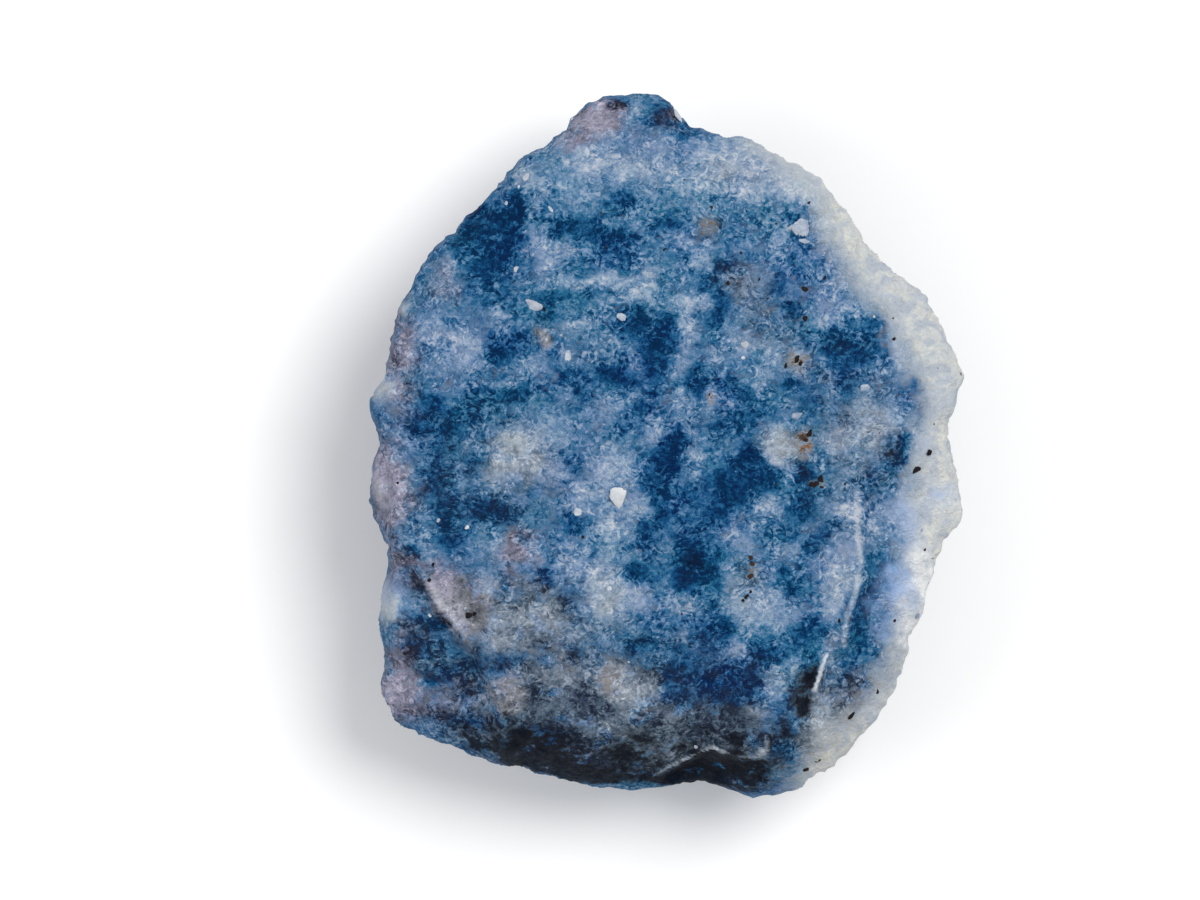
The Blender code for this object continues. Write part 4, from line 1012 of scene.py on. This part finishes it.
def grainMaterial(name, look):
    # each grain's own shade between dull and bright, made uneven by the mottling
    material, sheet, shader = newMaterial(name)
    mottling = mottled(sheet, sheet.add("ShaderNodeTexCoord").outputs["Object"], 0.4, 0.3)
    shade = sheet.add("ShaderNodeAttribute", {"attribute_name": "shade"}).outputs["Fac"]
    share = sheet.total(shade, (mottling["Cells"], 0.2), (mottling["Clouds"], 0.2))
    sheet.feed(shader.inputs["Base Color"], sheet.mix(share, look["dull"], look["bright"]))
    shader.inputs["Roughness"].default_value = look["roughness"]
    shader.inputs["Specular IOR Level"].default_value = look["specular"]
    return material


def makeGrains(name, materialName, look, likely):
    # the placed and the scattered grains of one kind, joined in one piece
    points, faces, shades = zip(placedLumps(look), scatteredLumps(look, likely))
    faces = np.concatenate([faces[0], faces[1] + len(points[0])])
    points = np.concatenate(points)
    points[:, 2] = np.maximum(points[:, 2], crystal["clearance"])
    piece = meshFrom(name, points, faces)
    addField(piece, "shade", np.concatenate(shades))
    piece.data.shade_flat()
    piece.data.materials.append(grainMaterial(materialName, look))
    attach(piece, "root")
    print(name, "made:", len(faces), "faces")


# pale grains are likeliest in pale stone, dark ones towards the right
paleness = np.clip(0.75 - stoneFields["blueDepth"] + stoneFields["creamShare"] * 0.3, 0, 1) ** 2
makeGrains("paleGrains", "pale crystal", paleGrains, paleness)
makeGrains("darkGrains", "dark crystal", darkGrains, 0.3 + stoneSurface[:, 0] / 40)


# Floor, light and camera, in metres

view = {
    "cameraHeight": 0.400,  # above the rim
    "rimHeight": 0.0088,
    "frameWidth": 0.06476,  # that the picture spans at the rim
    "centre": (-0.00356, -0.00024),
    "sensor": 36,
    "floorHalf": 0.6,
    "floorColour": (0.93, 0.93, 0.93, 1),
    "floorRoughness": 0.9,
    "floorSpecular": 0.1,
    "lights": [  # name, place, width, power, colour
        ("key", (0.147, 0.103, 0.312), 0.2, 0.9, (1.0, 0.985, 0.96)),
        ("fill", (-0.22, -0.03, 0.2), 0.2, 0.25, (0.94, 0.95, 1.0)),
    ],
    "airColour": (0.96, 0.98, 1.0, 1),
    "airStrength": 0.55,
}


def makeFloor():
    half = view["floorHalf"]
    mesh = bpy.data.meshes.new("floor")
    corners = [(-half, -half, 0), (half, -half, 0), (half, half, 0), (-half, half, 0)]
    mesh.from_pydata(corners, [], [(0, 1, 2, 3)])
    floor = addObject("floor", mesh)
    material, _, shader = newMaterial("pale floor")
    shader.inputs["Base Color"].default_value = view["floorColour"]
    shader.inputs["Roughness"].default_value = view["floorRoughness"]
    shader.inputs["Specular IOR Level"].default_value = view["floorSpecular"]
    floor.data.materials.append(material)


def makeLight(name, place, width, power, colour):
    # a round soft light that faces the stone
    data = bpy.data.lights.new(name, "AREA")
    data.shape = "DISK"
    data.size = width
    data.energy = power
    data.color = colour
    light = addObject(name, data)
    light.location = place
    light.rotation_euler = light.location.to_track_quat("Z", "Y").to_euler()


def makeCamera():
    # straight above, at the distance that lets the frame's width at the rim fill the picture
    data = bpy.data.cameras.new("camera")
    data.sensor_width = view["sensor"]
    data.lens = view["sensor"] * view["cameraHeight"] / view["frameWidth"]
    data.clip_start = 0.01
    camera = addObject("camera", data)
    camera.location = (*view["centre"], view["rimHeight"] + view["cameraHeight"])
    bpy.context.scene.camera = camera


def makeAir():
    # even light from all round
    world = bpy.data.worlds.new("world")
    world.use_nodes = True
    background = world.node_tree.nodes["Background"]
    background.inputs["Color"].default_value = view["airColour"]
    background.inputs["Strength"].default_value = view["airStrength"]
    bpy.context.scene.world = world


makeFloor()
for light in view["lights"]:
    makeLight(*light)
makeCamera()
makeAir()
bpy.context.scene.view_settings.view_transform = "Standard"
print("floor, light and camera made")
